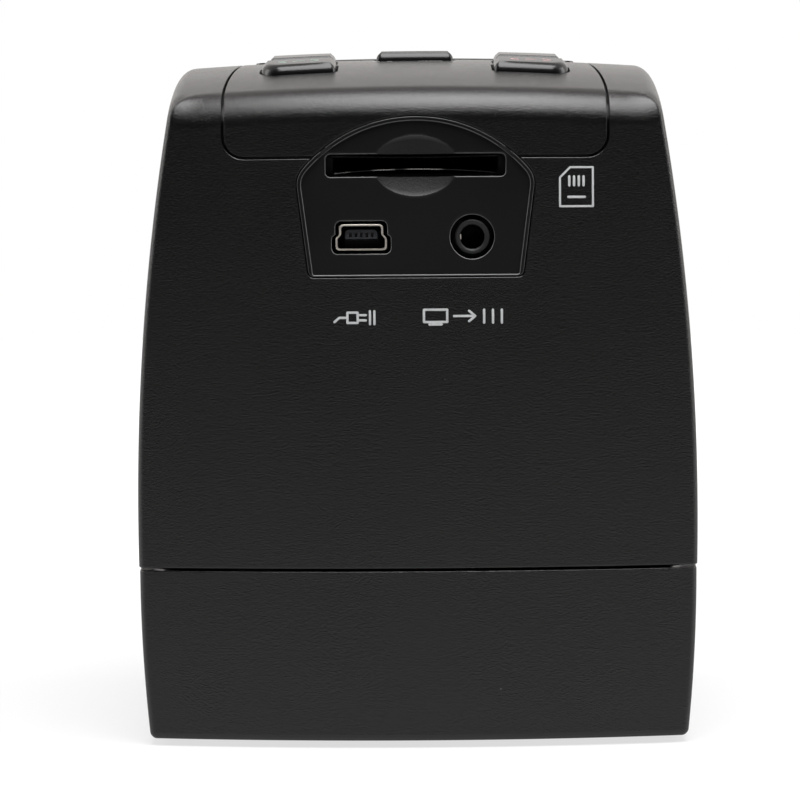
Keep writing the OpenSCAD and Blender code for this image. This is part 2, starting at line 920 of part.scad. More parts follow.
module switch_at(side, row) {
    x = key_cx(side, row);
    y = front_y + key_t(row);
    h = switch_s / 2;
    difference() {
        box(x - h, x + h, y - h, y + h, keypad_top, keypad_top + switch_h);
        post(x, y, plunger_r + plunger_play, plunger_low, keypad_top + switch_h + 1);
    }
}

module key_switches() color([0.75, 0.75, 0.77]) {
    for (side = [-1, 1]) {
        switch_at(side, 0);
        switch_at(side, 1);
    }
    switch_at(0, 2);
}

module keypad_board() color([0.1, 0.35, 0.2]) {
    difference() {
        box(-keypad_x, keypad_x, keypad_front, keypad_rear, keypad_z, keypad_top);
        at_keypad_screws() post(0, 0, small_screw_r + screw_clear, keypad_z - 1, keypad_top + 1);
    }
}

module keypad_screws() color([0.7, 0.7, 0.72]) {
    at_keypad_screws() small_screw(keypad_z, 4);
}

// ---- card socket ---------------------------------------------------------

module card_frame() color([0.07, 0.07, 0.08]) {
    y0 = socket_front;
    y1 = socket_front + socket_l;
    difference() {
        box(frame_left, frame_right, y0, y1, display_top, bay_top);
        box(-bay_x, bay_x, y0 - 1, y1 - 1.5, bay_floor, bay_top + 1);
        // channel for the ejector and its spring
        box(-bay_x - channel_w, -bay_x - 0.2, y0 + 6, y1 - 1.5, bay_floor, bay_top + 1);
        // mouth for the ejector's foot
        box(-bay_x - 1, -bay_x + 1, y0 + 18.4, y1 - 1.5, bay_floor, bay_top + 1);
    }
    // stop behind the spring
    box(-bay_x - channel_w - 0.2, -bay_x - 0.1, spring_y + spring_l, spring_y + spring_l + 1,
        bay_floor - 0.1, bay_floor + 1.5);
}

module card_shell() color([0.8, 0.81, 0.83]) {
    y0 = socket_front;
    y1 = socket_front + socket_l;
    difference() {
        box(frame_left - skin, frame_right + skin, y0 + 0.5, y1, display_top + 0.4, bay_top + skin);
        box(frame_left, frame_right, y0 - 1, y1 + 1, display_top - 1, bay_top);
        post(0, y0 - shell_arc_y, shell_arc_r, bay_top - 1, bay_top + 1);
        box(-6, 6, y1 - 9, y1 - 7, bay_top - 1, bay_top + 1);
    }
}

module card_contacts() color([0.85, 0.7, 0.35]) {
    y1 = socket_front + socket_l - 1.5;
    for (i = [0:8]) {
        x = (i - 4) * leaf_pitch;
        difference() {
            box(x - leaf_w / 2, x + leaf_w / 2, y1 - leaf_l, y1, bay_floor, bay_floor + leaf_rise);
            translate([x - leaf_w, y1 - 5, bay_floor + 3]) rotate([0, 90, 0]) cylinder(h = 2 * leaf_w,
                r = leaf_dip_r);
        }
    }
}

module card_ejector() color([0.85, 0.85, 0.8]) {
    x0 = ejector_x - ejector_w / 2;
    x1 = ejector_x + ejector_w / 2;
    top = bay_floor + 2.2;
    foot_y0 = spring_y + spring_l + 1.3;
    box(x0, x1, ejector_y, spring_y, bay_floor + ejector_gap, top);
    box(x0, x1, ejector_y, foot_y0 + 1.6, top - ejector_leg, top);
    box(x0, -bay_x + 3.5, foot_y0, foot_y0 + 1.6, bay_floor + 1.1, top);
}

module ejector_spring() color([0.75, 0.76, 0.78]) {
    wire = spring_l / spring_turns / 2;
    translate([ejector_x, spring_y, bay_floor + ejector_gap + spring_r]) rotate([-90, 0, 0])
        rotate_extrude() {
        for (i = [0:spring_turns - 1]) {
            translate([spring_r - wire, wire * (2 * i + 1)]) circle(wire, $fn = 32);
        }
        translate([spring_r - wire - 0.05, 0]) square([0.1, spring_l]);
    }
}

module display_board() color([0.1, 0.35, 0.2]) {
    difference() {
        box(-display_x, display_x, board_front, display_rear, display_z, display_top);
        at_display_posts() post(0, 0, small_screw_r + screw_clear, display_z - 1, display_top + 1);
    }
}

module at_display_posts() {
    for (x = [-display_post_x, display_post_x]) {
        for (y = [display_post_front, display_post_rear]) {
            translate([x, y, 0]) children();
        }
    }
}

module display_standoffs() color([0.75, 0.68, 0.4]) {
    difference() {
        at_display_posts() translate([0, 0, main_top]) cylinder(h = display_z - main_top, r = 2, $fn = 6);
        at_display_posts() post(0, 0, small_screw_r + screw_clear, main_top - 1, display_z + 1);
    }
}

// ---- data port and video jack --------------------------------------------

module data_shell() color([0.82, 0.83, 0.85]) {
    y1 = port_front + data_len;
    difference() {
        along_y(port_front, y1) translate([-data_x, port_z]) data_outline(0, 0);
        along_y(port_front - 1, y1 - 0.3) translate([-data_x, port_z]) data_outline(-data_skin, -data_skin);
    }
}

module data_tongue() color([0.06, 0.06, 0.07]) {
    y1 = port_front + data_len - 0.3;
    top = port_z + tongue_top;
    box(-data_x - tongue_half, -data_x + tongue_half, port_front + 1, y1, port_z + pin_half, top);
    box(-data_x - root_half, -data_x + root_half, y1 - root_t, y1, port_z - 1.4, top);
}

module data_contacts() color([0.85, 0.7, 0.35]) {
    y1 = port_front + data_len - 0.3;
    for (i = [-2:2]) {
        x = -data_x + i * pin_pitch;
        box(x - pin_w / 2, x + pin_w / 2, port_front + 1.3, y1 - root_t, port_z - pin_half,
            port_z + pin_half);
    }
}

module jack_body() color([0.05, 0.05, 0.06]) {
    difference() {
        union() {
            box(jack_x - jack_half, jack_x + jack_half, jack_front, board_front + 12, main_top,
                port_z + 2.8);
            pin_y(jack_x, port_front + 0.2, port_z, jack_nose_r, jack_front - port_front);
        }
        pin_y(jack_x, port_front - 1, port_z, jack_bore / 2, 14.2);
    }
}

module jack_tabs() color([0.8, 0.81, 0.83]) {
    for (x = [jack_x - jack_half - tab_l, jack_x + jack_half]) {
        for (i = [0:2]) {
            y = board_front + 2.5 + i * tab_pitch;
            box(x, x + tab_l, y - tab_l / 2, y + tab_l / 2, main_top, main_top + tab_t);
        }
    }
}

// ---- main board ----------------------------------------------------------

module at_main_posts() {
    for (x = [-post_x, post_x]) {
        for (y = [main_post_front, main_post_rear]) {
            translate([x, y, 0]) children();
        }
    }
}

module main_board() color([0.1, 0.35, 0.2]) {
    difference() {
        box(-main_x, main_x, board_front, main_rear, main_z, main_top);
        at_main_posts() post(0, 0, small_screw_r + screw_clear, main_z - 1, main_top + 1);
        at_display_posts() post(0, 0, small_screw_r + screw_clear, main_z - 1, main_top + 1);
    }
}

module main_chips() color([0.06, 0.06, 0.07]) {
    y = main_rear - 9;
    box(10, 19, y - 2.5, y + 6.5, main_top, main_top + 1.1);
    box(-18, -8, y - 1, y + 6, main_top, main_top + 1);
    box(-3, 2, y - 5, y, main_top, main_top + 0.9);
}

module main_standoffs() color([0.75, 0.68, 0.4]) {
    both_x() difference() {
        translate([post_x, main_post_rear, gate_top]) cylinder(h = main_z - gate_top, r = 2.4, $fn = 6);
        post(post_x, main_post_rear, small_screw_r + screw_clear, main_z - 5, main_z + 1);
    }
}

// Small pan-head screw pointing down, its head on height z.
module down_screw(z, l) {
    translate([0, 0, z]) mirror([0, 0, 1]) small_screw(0, l);
}

module board_screws() color([0.7, 0.7, 0.72]) {
    at_main_posts() down_screw(main_top, 5);
    at_display_posts() down_screw(display_top, 4);
    at_display_posts() small_screw(main_z, 4);
}

module board_connectors() color([0.9, 0.88, 0.8]) {
    y = display_rear - 9;
    box(-24.5, -17, y - 3.5, y, display_top, display_top + 1.5);
    box(15, 23, y - 3.5, y, display_top, display_top + 1.5);
    box(-4, 4, main_rear - 3.5, main_rear - 0.5, main_top, main_top + 1.5);
    box(22.5, 26.5, main_rear - 8.2, main_rear - 4.2, main_top, main_top + 2);
}

// ---- flexible cables -----------------------------------------------------

module screen_flex() color([0.8, 0.55, 0.2]) {
    y = display_rear - 9;
    z = display_top + 1.2;
    up = module_front + 3;
    box(-24, -17.2, y, up, z, z + 0.25);
    box(-24, -17.2, up - 0.25, up, z, bracket_z);
    box(-24, -17.2, up - 0.25, up + 8, bracket_z - 0.25, bracket_z);
}

module keypad_flex() color([0.8, 0.55, 0.2]) {
    y = display_rear - 9;
    box(15.5, 22.5, y - 1.9, y - 1.65, display_top + 1.5, keypad_z);
}

module sensor_flex() color([0.8, 0.55, 0.2]) {
    y = main_rear + 2.1;
    top = sensor_z + board_t;
    box(-3.5, 3.5, main_rear - 0.5, y, main_top + 1, main_top + 1.25);
    box(-3.5, 3.5, y, y + 0.25, main_top + 1, top + 0.25);
    box(-3.5, 3.5, y, axis_y - sensor_y / 2 + 3, top, top + 0.25);
}

// ---- optics --------------------------------------------------------------

module sensor_board() color([0.1, 0.3, 0.35]) {
    difference() {
        translate([0, axis_y, sensor_z]) box(-sensor_x / 2, sensor_x / 2, -sensor_y / 2, sensor_y / 2,
            0, board_t);
        at_sensor_screws() post(0, 0, small_screw_r + screw_clear, sensor_z - 1, sensor_z + board_t + 1);
    }
}

module at_sensor_screws() {
    for (x = [-sensor_ear_x, sensor_ear_x]) {
        translate([x, axis_y, 0]) children();
    }
}

module at_holder_screws() {
    for (y = [-holder_screw_y, holder_screw_y]) {
        translate([0, axis_y + y, 0]) children();
    }
}

module sensor_chip() color([0.15, 0.15, 0.2]) {
    h = chip_s / 2;
    translate([0, axis_y, sensor_z]) box(-h, h, -h, h, -chip_t, 0);
}

module sensor_screws() color([0.7, 0.7, 0.72]) {
    at_sensor_screws() down_screw(sensor_z + board_t, 5);
    at_holder_screws() down_screw(shroud_top + holder_flange_t, holder_screw_l);
}

module lens_holder() color([0.08, 0.08, 0.09]) {
    top = sensor_z;
    flange = shroud_top + holder_flange_t;
    difference() {
        union() {
            post(0, axis_y, shroud_r2, shroud_top, flange);
            post(0, axis_y, holder_r, shroud_top, top);
            at_sensor_screws() post(0, 0, 2.1, shroud_top, top);
        }
        post(0, axis_y, barrel_r + barrel_play, shroud_top - 1, top + 1);
        at_sensor_screws() post(0, 0, small_screw_r + screw_clear, top - 5, top + 1);
        at_holder_screws() post(0, 0, small_screw_r + screw_clear, shroud_top - 1, flange + 1);
    }
}

module lens_barrel() color([0.1, 0.1, 0.11]) {
    difference() {
        post(0, axis_y, barrel_r, barrel_z, barrel_z + barrel_l);
        post(0, axis_y, barrel_bore, barrel_z - 1, barrel_z + barrel_l + 1);
    }
}

module lens_elements() color([0.6, 0.7, 0.8, 0.5]) {
    for (i = [0:2]) {
        z = barrel_z + 1 + i * lens_pitch;
        intersection() {
            post(0, axis_y, barrel_bore, z, z + lens_t);
            translate([0, axis_y, z + lens_t - lens_r]) sphere(lens_r);
        }
    }
}

module light_shroud() color([0.07, 0.07, 0.08]) {
    z1 = gate_top + shroud_flange_t;
    difference() {
        union() {
            post(0, axis_y, shroud_flange_r, gate_top, z1);
            translate([0, axis_y, z1]) cylinder(h = shroud_top - z1, r1 = shroud_r1, r2 = shroud_r2);
            post(0, axis_y, shroud_r2, barrel_z, shroud_top);
        }
        translate([0, axis_y, gate_top - 0.5]) {
            cylinder(h = shroud_top - 3 - gate_top, r1 = shroud_r1 - shroud_t,
                r2 = shroud_r2 - shroud_t - 1);
        }
        post(0, axis_y, barrel_r + 0.4, shroud_top - 5, shroud_top + 1);
        at_holder_screws() post(0, 0, small_screw_r + screw_clear, shroud_top - 2.6, shroud_top + 1);
        at_shroud_screws() post(0, 0, small_screw_r + screw_clear, gate_top - 1, z1 + 1);
    }
}

module at_shroud_screws() {
    for (a = [45:90:315]) {
        translate([0, axis_y, 0]) rotate([0, 0, a]) translate([shroud_screw_r, 0, 0]) children();
    }
}

module shroud_screws() color([0.7, 0.7, 0.72]) {
    at_shroud_screws() down_screw(gate_top + shroud_flange_t, shroud_flange_t + gate_t - 0.3);
}

// ---- film path and backlight ---------------------------------------------

module film_gate() color([0.08, 0.08, 0.09]) {
    difference() {
        union() {
            translate([0, axis_y, 0]) {
                box(-gate_x, gate_x, -rail_y, rail_y, tunnel_roof, gate_top);
                box(-gate_x, gate_x, -rail_y, -rail_y + rail_t, tunnel_floor, gate_top);
                box(-gate_x, gate_x, rail_y - rail_t, rail_y, tunnel_floor, gate_top);
            }
            // ears held between the base tubes and the upper bosses
            at_housing_screws() post(0, 0, ear_r, base_top, boss_bottom);
            for (x = [-screw_x, screw_x]) {
                box(x - ear_r, x + ear_r, front_y + screw_in, axis_y - rail_y + 0.5, base_top, boss_bottom);
                box(x - ear_r, x + ear_r, axis_y + rail_y - 0.5, -front_y - screw_in, base_top,
                    boss_bottom);
            }
        }
        translate([0, axis_y, 0]) {
            box(-aperture_x / 2, aperture_x / 2, -aperture_y / 2, aperture_y / 2, tunnel_roof - 1,
                gate_top + 1);
        }
        at_housing_screws() post(0, 0, screw_r + screw_pass, base_top - 1, boss_bottom + 1);
        at_shroud_screws() post(0, 0, small_screw_r + screw_clear, tunnel_roof - 1, gate_top + 1);
    }
}

module detent_springs() color([0.78, 0.79, 0.82]) {
    low = tunnel_roof - detent_t;
    for (x = [-detent_x, detent_x]) {
        translate([x, axis_y + detent_y, 0]) {
            box(-detent_l / 2, detent_l / 2, 0, detent_w, low, tunnel_roof);
            intersection() {
                pin_y(0, 0, low, detent_r, detent_w);
                box(-1, 1, 0, detent_w, low - 2, tunnel_roof);
            }
        }
    }
}

module stage_plate() color([0.1, 0.1, 0.11]) {
    dx = diffuser_x / 2 + diffuser_gap;
    dy = diffuser_y / 2 + diffuser_gap;
    difference() {
        translate([0, axis_y, 0]) box(-gate_x, gate_x, -stage_y, stage_y, stage_z, tunnel_floor);
        translate([0, axis_y, 0]) {
            box(-dx, dx, -dy, dy, stage_z + diffuser_step, tunnel_floor + 1);
            box(-dx + ledge, dx - ledge, -dy + ledge, dy - ledge, stage_z - 1, tunnel_floor);
        }
        at_housing_screws() post(0, 0, tube_r + tube_gap, stage_z - 1, tunnel_floor + 1);
    }
}

module diffuser() color([0.95, 0.95, 0.93]) {
    translate([0, axis_y, 0]) {
        box(-diffuser_x / 2, diffuser_x / 2, -diffuser_y / 2, diffuser_y / 2, stage_z + diffuser_step,
            tunnel_floor);
    }
}

module light_box() color([0.93, 0.93, 0.92]) {
    hx = light_box_x / 2;
    hy = light_box_y / 2;
    translate([0, axis_y, 0]) difference() {
        box(-hx, hx, -hy, hy, light_board_z + board_t, stage_z);
        box(-hx + light_wall, hx - light_wall, -hy + light_wall, hy - light_wall, light_board_z,
            stage_z + 1);
        for (x = [-light_post_x, light_post_x]) {
            for (y = [-light_post_y, light_post_y]) {
                post(x, y, small_head_r + tube_gap, light_board_z,
                    light_board_z + board_t + 2 * small_head_h);
            }
        }
    }
}

module backlight_board() color([0.9, 0.9, 0.88]) {
    difference() {
        translate([0, axis_y, light_board_z]) {
            box(-light_board_x / 2, light_board_x / 2, -light_board_y / 2, light_board_y / 2, 0, board_t);
        }
        at_light_posts() post(0, 0, small_screw_r + screw_clear, light_board_z - 1,
            light_board_z + board_t + 1);
    }
}

module backlight_screws() color([0.7, 0.7, 0.72]) {
    at_light_posts() down_screw(light_board_z + board_t, 4.5);
}

module backlight_leds() color([0.95, 0.9, 0.6]) {
    for (i = [-1.5:1.5]) {
        for (k = [-1:1]) {
            translate([i * led_pitch, axis_y + k * led_pitch, light_board_z + board_t])
                box(-led_x / 2, led_x / 2, -led_y / 2, led_y / 2, 0, led_t);
        }
    }
}

module backlight_lead() color([0.7, 0.1, 0.1]) {
    z0 = light_board_z + board_t + lead_r;
    y0 = axis_y - light_board_y / 2;
    y1 = board_front + 1;
    for (x = [0, 2 * lead_r + lead_gap]) {
        pin_y(x, y1, z0, lead_r, y0 - y1 + 1.5);
        translate([x, y1, z0]) sphere(lead_r);
        post(x, y1, lead_r, z0, main_z);
    }
}

module housing_screws() color([0.7, 0.7, 0.72]) {
    at_housing_screws() difference() {
        union() {
            post(0, 0, head_r, head_z - head_h, head_z);
            post(0, 0, screw_r, head_z - 0.1, boss_top - 4);
        }
        for (a = [0, 90]) {
            rotate([0, 0, a]) box(-big_cross_l, big_cross_l, -big_cross_w, big_cross_w, 0,
                head_z - head_h + big_cross_deep);
        }
    }
}

module feet() color([0.15, 0.15, 0.15]) {
    for (x = [-foot_x, foot_x]) {
        for (y = [-foot_y, foot_y]) {
            post(x, y, foot_r, 0, base_z + foot_sink);
        }
    }
}

// ---- nodes ---------------------------------------------------------------

upper_housing();
top_cover();
base_housing();
port_panel();
screen_window();
screen_module();
screen_bracket();
key_front_left();
key_front_right();
key_rear_left();
key_rear_right();
key_centre();
plunger_front_left();
plunger_front_right();
plunger_rear_left();
plunger_rear_right();
plunger_centre();
key_switches();
keypad_board();
keypad_screws();
bracket_screws();
card_frame();
card_shell();
card_contacts();
card_ejector();
ejector_spring();
display_board();
display_standoffs();
data_shell();
data_tongue();
data_contacts();
jack_body();
jack_tabs();
main_board();
main_chips();
main_standoffs();
board_screws();
board_connectors();
keypad_flex();
screen_flex();
sensor_flex();
sensor_board();
sensor_chip();
sensor_screws();
lens_holder();
lens_barrel();
lens_elements();
light_shroud();
shroud_screws();
film_gate();
detent_springs();
stage_plate();
diffuser();
light_box();
backlight_board();
backlight_screws();
backlight_leds();
backlight_lead();
housing_screws();
feet();
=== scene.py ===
"""Looks of a film negative scanner, laid out as an add-on and run as a script."""

import math
from types import SimpleNamespace

import bmesh
import bpy
import numpy as np
from bpy.props import FloatProperty, FloatVectorProperty, IntProperty, PointerProperty
from bpy.types import Operator, Panel, PropertyGroup
from mathutils import Euler, Matrix, Vector


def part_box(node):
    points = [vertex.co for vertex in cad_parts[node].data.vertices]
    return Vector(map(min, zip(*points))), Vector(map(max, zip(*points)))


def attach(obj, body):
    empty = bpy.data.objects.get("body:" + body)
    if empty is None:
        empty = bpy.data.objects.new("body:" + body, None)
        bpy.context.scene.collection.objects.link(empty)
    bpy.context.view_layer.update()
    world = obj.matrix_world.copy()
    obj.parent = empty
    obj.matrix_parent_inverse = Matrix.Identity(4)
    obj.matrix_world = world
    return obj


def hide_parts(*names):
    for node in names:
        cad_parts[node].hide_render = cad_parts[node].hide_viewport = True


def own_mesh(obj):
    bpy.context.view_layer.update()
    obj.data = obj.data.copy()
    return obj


bl_info = {
    "name": "Film Negative Scanner",
    "version": (1, 0, 0),
    "blender": (4, 5, 0),
    "location": "View3D > Sidebar > Scanner",
    "description": "Builds a small film scanner with its ports, keys and screen on a studio stage",
    "category": "Add Mesh",
}

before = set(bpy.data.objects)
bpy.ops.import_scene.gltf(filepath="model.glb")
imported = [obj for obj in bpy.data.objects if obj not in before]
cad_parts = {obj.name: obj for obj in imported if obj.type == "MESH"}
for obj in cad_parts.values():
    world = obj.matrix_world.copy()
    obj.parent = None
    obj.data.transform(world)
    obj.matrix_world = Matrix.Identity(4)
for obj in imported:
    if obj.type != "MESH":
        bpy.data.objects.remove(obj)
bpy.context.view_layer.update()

MM = 0.001
HOUSING = "housing"
HALVINGS = 44  # steps of a search along a line, down to far less than a nanometre
ROUNDS = 8  # rounds in which a corner or an upper edge settles
NEAR_SKIN = 0.03  # millimetres off a skin at which a point still takes its normal
SAME_WAY = 0.93  # cosine up to which a face still follows the skin


# ---- sizes and colours ----------------------------------------------------


def length(name, description, default):
    """A size in metres that shows in the sidebar."""
    return FloatProperty(
        name=name, description=description, default=default, min=0, unit="LENGTH", precision=5
    )


def shade(name, description, default):
    """A linear colour that shows in the sidebar."""
    return FloatVectorProperty(
        name=name, description=description, default=default, size=3, min=0, max=1, subtype="COLOR"
    )


class HousingSizes(PropertyGroup):
    width: length("Width", "Width at the widest point of the bowed sides", 0.086)
    depth: length("Depth", "Depth from front to rear", 0.087)
    height: length("Height", "Height of the crest of the top", 0.104)
    end_bow: length("End bow", "Plan radius of the front and rear", 0.210)
    side_bow: length("Side bow", "Plan radius of the sides", 0.500)
    wall_bow: length("Wall bow", "Radius of the upper walls' vertical curve", 0.353)
    wall_mid: length("Wall middle", "Height at which the upper walls stand upright", 0.0343)
    base_bow: length("Base bow", "Radius of the base walls' vertical curve", 0.240)
    slope_bow: length("Slope bow", "Radius of the sloped key area", 0.1175)
    slope_run: length("Slope run", "Depth of the sloped key area", 0.0425)
    crown_bow: length("Crown bow", "Radius of the top across the width", 0.650)
    seam: length("Seam", "Lower edge of the upper housing", 0.0265)
    base_low: length("Base underside", "Height of the base's underside", 0.001)
    base_high: length("Base top", "Upper edge of the base", 0.0262)
    seam_step: length("Seam step", "How far the base stands back from the upper housing", 0.0002)
    wall: length("Wall", "Thickness of both housings", 0.0024)
    post_round: length("Corner rounding", "Rounding of the upright corners", 0.0009)
    front_round: length("Front rounding", "Tangent length of the rounding above the front", 0.00374)
    rear_round: length("Rear rounding", "Tangent length of the rounding above the rear", 0.00545)
    side_round: length("Side rounding", "Tangent length of the rounding above the sides", 0.0017)
    rim_round: length("Rim rounding", "Rounding of the edges along the seam", 0.00022)
    foot_round: length("Bottom rounding", "Rounding around the base's underside", 0.001)


class OpeningSizes(PropertyGroup):
    cover_width: length("Cover width", "Width of the cover strip", 0.0569)
    cover_seam: length("Cover seam", "Height of the cover's lower seam", 0.0870)
    cover_waist: FloatProperty(
        name="Cover waist", default=0.045,
        description="Share by which the cover strip narrows over the top",
    )
    cover_gap: length("Cover gap", "Gap around the cover strip", 0.00036)
    cover_thick: length("Cover thickness", "Thickness of the cover strip", 0.0014)
    cover_corner: length("Cover corner", "Corner radius of the cover strip", 0.003)
    edge: length("Edge", "Rounding of the edges at the gaps", 0.00018)
    tunnel_width: length("Tunnel width", "Width of the film tunnel", 0.060)
    tunnel_roof: length("Tunnel roof", "Height of the tunnel's roof", 0.034)
    arch_low: length("Arch low", "Lower edge of the port panel", 0.0694)
    arch_width: length("Arch width", "Width of the port panel's lower edge", 0.0313)
    arch_radius: length("Arch radius", "Radius of the port panel's top", 0.0218)
    arch_fillet: length("Arch fillet", "Radius of the port panel's shoulders", 0.0035)
    panel_gap: length("Panel gap", "Gap around the port panel", 0.0002)
    panel_rim: length("Panel rim", "Width of the port panel's flat rim", 0.00052)
    panel_sink: length("Panel sink", "Depth of the panel floor inside its rim", 0.0005)
    slot_height: length("Slot height", "Height of the card slot's centre", 0.0856)
    slot_width: length("Slot width", "Width of the card slot", 0.0264)
    slot_tall: length("Slot opening", "Clear height of the card slot", 0.00335)
    port_height: length("Port height", "Height of the data port and the jack", 0.0751)
    data_x: length("Data port offset", "Distance of the data port from the middle", 0.008)
    jack_x: length("Jack offset", "Distance of the jack from the middle", 0.00825)
    jack_hole: length("Jack hole", "Radius of the panel's hole round the jack", 0.00325)


class KeySizes(PropertyGroup):
    proud: length("Proud", "Height of the keys above the top", 0.00137)
    width: length("Key width", "Width of a front key", 0.01125)
    run: length("Key length", "Length of a key down the slope", 0.0069)
    gap: length("Key gap", "Gap round a key", 0.0003)
    offset: length("Key offset", "Distance of the side keys from the middle", 0.0176)
    top_round: length("Top rounding", "Rounding round a key's top", 0.0013)
    window_width: length("Window width", "Width of the screen window", 0.0504)
    window_run: length("Window length", "Length of the screen window", 0.040)
    window_front: length("Window place", "From the front face to the window", 0.036)


class FinishColours(PropertyGroup):
    black: shade("Housing black", "Base colour of the grained housings", (0.0055, 0.0053, 0.0053))
    panel: shade("Panel black", "Base colour of the port panel", (0.0062, 0.0062, 0.0066))
    print: shade("Print", "Colour of the printed marks", (0.83, 0.84, 0.85))
    steel: shade("Steel", "Colour of plated sheet", (0.72, 0.70, 0.68))
    gold: shade("Gold", "Colour of the contacts", (0.80, 0.58, 0.27))
    mask: shade("Board", "Colour of the solder mask", (0.012, 0.075, 0.035))
    floor: shade("Floor", "Colour of the studio floor", (0.3, 0.3, 0.3))
    grain_count: IntProperty(
        name="Grain count", description="Grains per metre of the moulded skin", default=3200, min=100
    )


def in_mm(name):
    """A size group of the scene as plain numbers in millimetres."""
    group = getattr(bpy.context.scene, "scanner_" + name)
    sizes = {k: getattr(group, k) / MM for k in group.__annotations__}
    if name == "openings":
        sizes["cover_waist"] *= MM
    return SimpleNamespace(**sizes)


def front_y():
    """Where the middle of the front stands."""
    return -in_mm("housing").depth / 2


# ---- rounded skins --------------------------------------------------------


def blunt(a, b, r):
    """Inside both a and b, with the edge between them rounded."""
    u, v = np.maximum(a + r, 0), np.maximum(b + r, 0)
    return np.minimum(np.maximum(a, b), -r) + np.hypot(u, v)


def eased(t):
    t = np.clip(t, 0, 1)
    return t * t * (3 - 2 * t)


class Skin:
    """Outer surface of one housing, as a field in millimetres that is negative inside."""

    def __init__(self, **sizes):
        self.__dict__.update(sizes)

    def shrunk(self, wall, low):
        """The same skin a wall further in, with its own floor."""
        inner = dict(self.__dict__)
        for name in ("half_w", "half_d", "end_bow", "side_bow", "wall_bow"):
            inner[name] -= wall
        inner.update(height=self.height - wall, low=low, slope_bow=self.slope_bow - wall)
        for name in ("front_r", "rear_r", "side_r"):
            inner[name] = max(inner[name] - wall / 2, 0.2)
        return Skin(**inner)

    def end_y(self, x):
        return self.half_d - self.end_bow + np.sqrt(self.end_bow**2 - x**2)

    def lean(self, z):
        rise = np.clip((z - self.wall_mid) / self.wall_bow, -0.9, 0.9)
        return np.sqrt(1 - rise**2)

    def side_x(self, y, z):
        reach = self.side_bow - self.wall_bow * (1 - self.lean(z))
        return self.half_w - self.side_bow + np.sqrt(reach**2 - y**2)

    def slope(self, x, y):
        """How far a point lies down the slope, which follows the bowed front."""
        bow = self.end_bow - np.sqrt(self.end_bow**2 - x**2)
        return np.clip(self.slope_run - (y - bow + self.slope_from), 0, self.slope_bow * 0.9)

    def roof(self, x, y):
        drop = self.slope_bow - np.sqrt(self.slope_bow**2 - self.slope(x, y) ** 2)
        return self.height - drop - x**2 / (2 * self.crown_bow)

    def parts(self, p):
        x, y, z = p[..., 0], p[..., 1], p[..., 2]
        end = np.hypot(x, np.abs(y) + self.end_bow - self.half_d) - self.end_bow
        reach = self.side_bow - self.wall_bow * (1 - self.lean(z))
        side = (np.hypot(np.abs(x) + self.side_bow - self.half_w, y) - reach) * self.lean(z)
        tilt = np.sqrt(1 - (self.slope(x, y) / self.slope_bow) ** 2)
        return end, side, (z - self.roof(x, y)) * tilt, self.low - z

    def over(self, p, end, side):
        """Size of the rounding above the walls, which changes from the ends to the sides."""
        ends = np.where(p[..., 1] < 0, self.front_r, self.rear_r)
        return self.side_r + (ends - self.side_r) * eased((end - side) / 6 + 0.5)

    def field(self, p):
        end, side, top, low = self.parts(p)
        over = self.over(p, end, side)
        return blunt(blunt(blunt(end, side, self.post_r), top, over), low, self.low_r)

    def normal(self, p, step=1e-3):
        sides = np.eye(3) * step
        slope = np.stack([self.field(p + d) - self.field(p - d) for d in sides], -1)
        return slope / np.maximum(np.linalg.norm(slope, axis=-1, keepdims=True), 1e-12)

    def hit(self, start, way, reach):
        """Where lines from outside points, along way, first stand inside the skin."""
        near = np.zeros(start.shape[:-1])
        far = near + reach
        for _ in range(HALVINGS):
            middle = (near + far) / 2
            inside = self.field(start + way * middle[..., None]) < 0
            far, near = np.where(inside, middle, far), np.where(inside, near, middle)
        return start + way * far[..., None]

    def settle(self, p):
        """Moves points from the sharp edges onto the rounded skin."""
        end, side, top, low = self.parts(p)
        over = self.over(p, end, side)
        near_roof, near_low = np.clip(1 + top / over, 0, 1), np.clip(1 + low / self.low_r, 0, 1)
        wall_r = self.post_r + (over - self.post_r) * near_roof
        wall_r = wall_r + (np.maximum(self.low_r, self.post_r) - wall_r) * near_low
        way = np.zeros_like(p)
        fields = (end, wall_r), (side, wall_r), (top, over), (low, self.low_r)
        steps = [(self.parts(p + d), self.parts(p - d)) for d in np.eye(3) * 1e-3]
        for n, (value, reach) in enumerate(fields):
            weight = np.clip(1 + value / (reach * 1.05), 0, 1)
            slope = np.stack([ahead[n] - behind[n] for ahead, behind in steps], -1)
            way -= weight[..., None] * slope / 2e-3
        way /= np.maximum(np.linalg.norm(way, axis=-1, keepdims=True), 1e-9)
        return self.hit(p - way * 0.5, way, 8.5)


def spaced(total, low, high, cells):
    """Places along a length: close near both ends and even between them."""
    low, high = np.asarray(low), np.asarray(high)
    total = np.asarray(total, float)[..., None]
    middle = low[-1] + np.linspace(0, 1, cells + 1)[1:-1] * (total - low[-1] - high[-1])
    one = np.ones_like(total)
    return np.concatenate([low * one, middle, total - high[::-1]], -1)


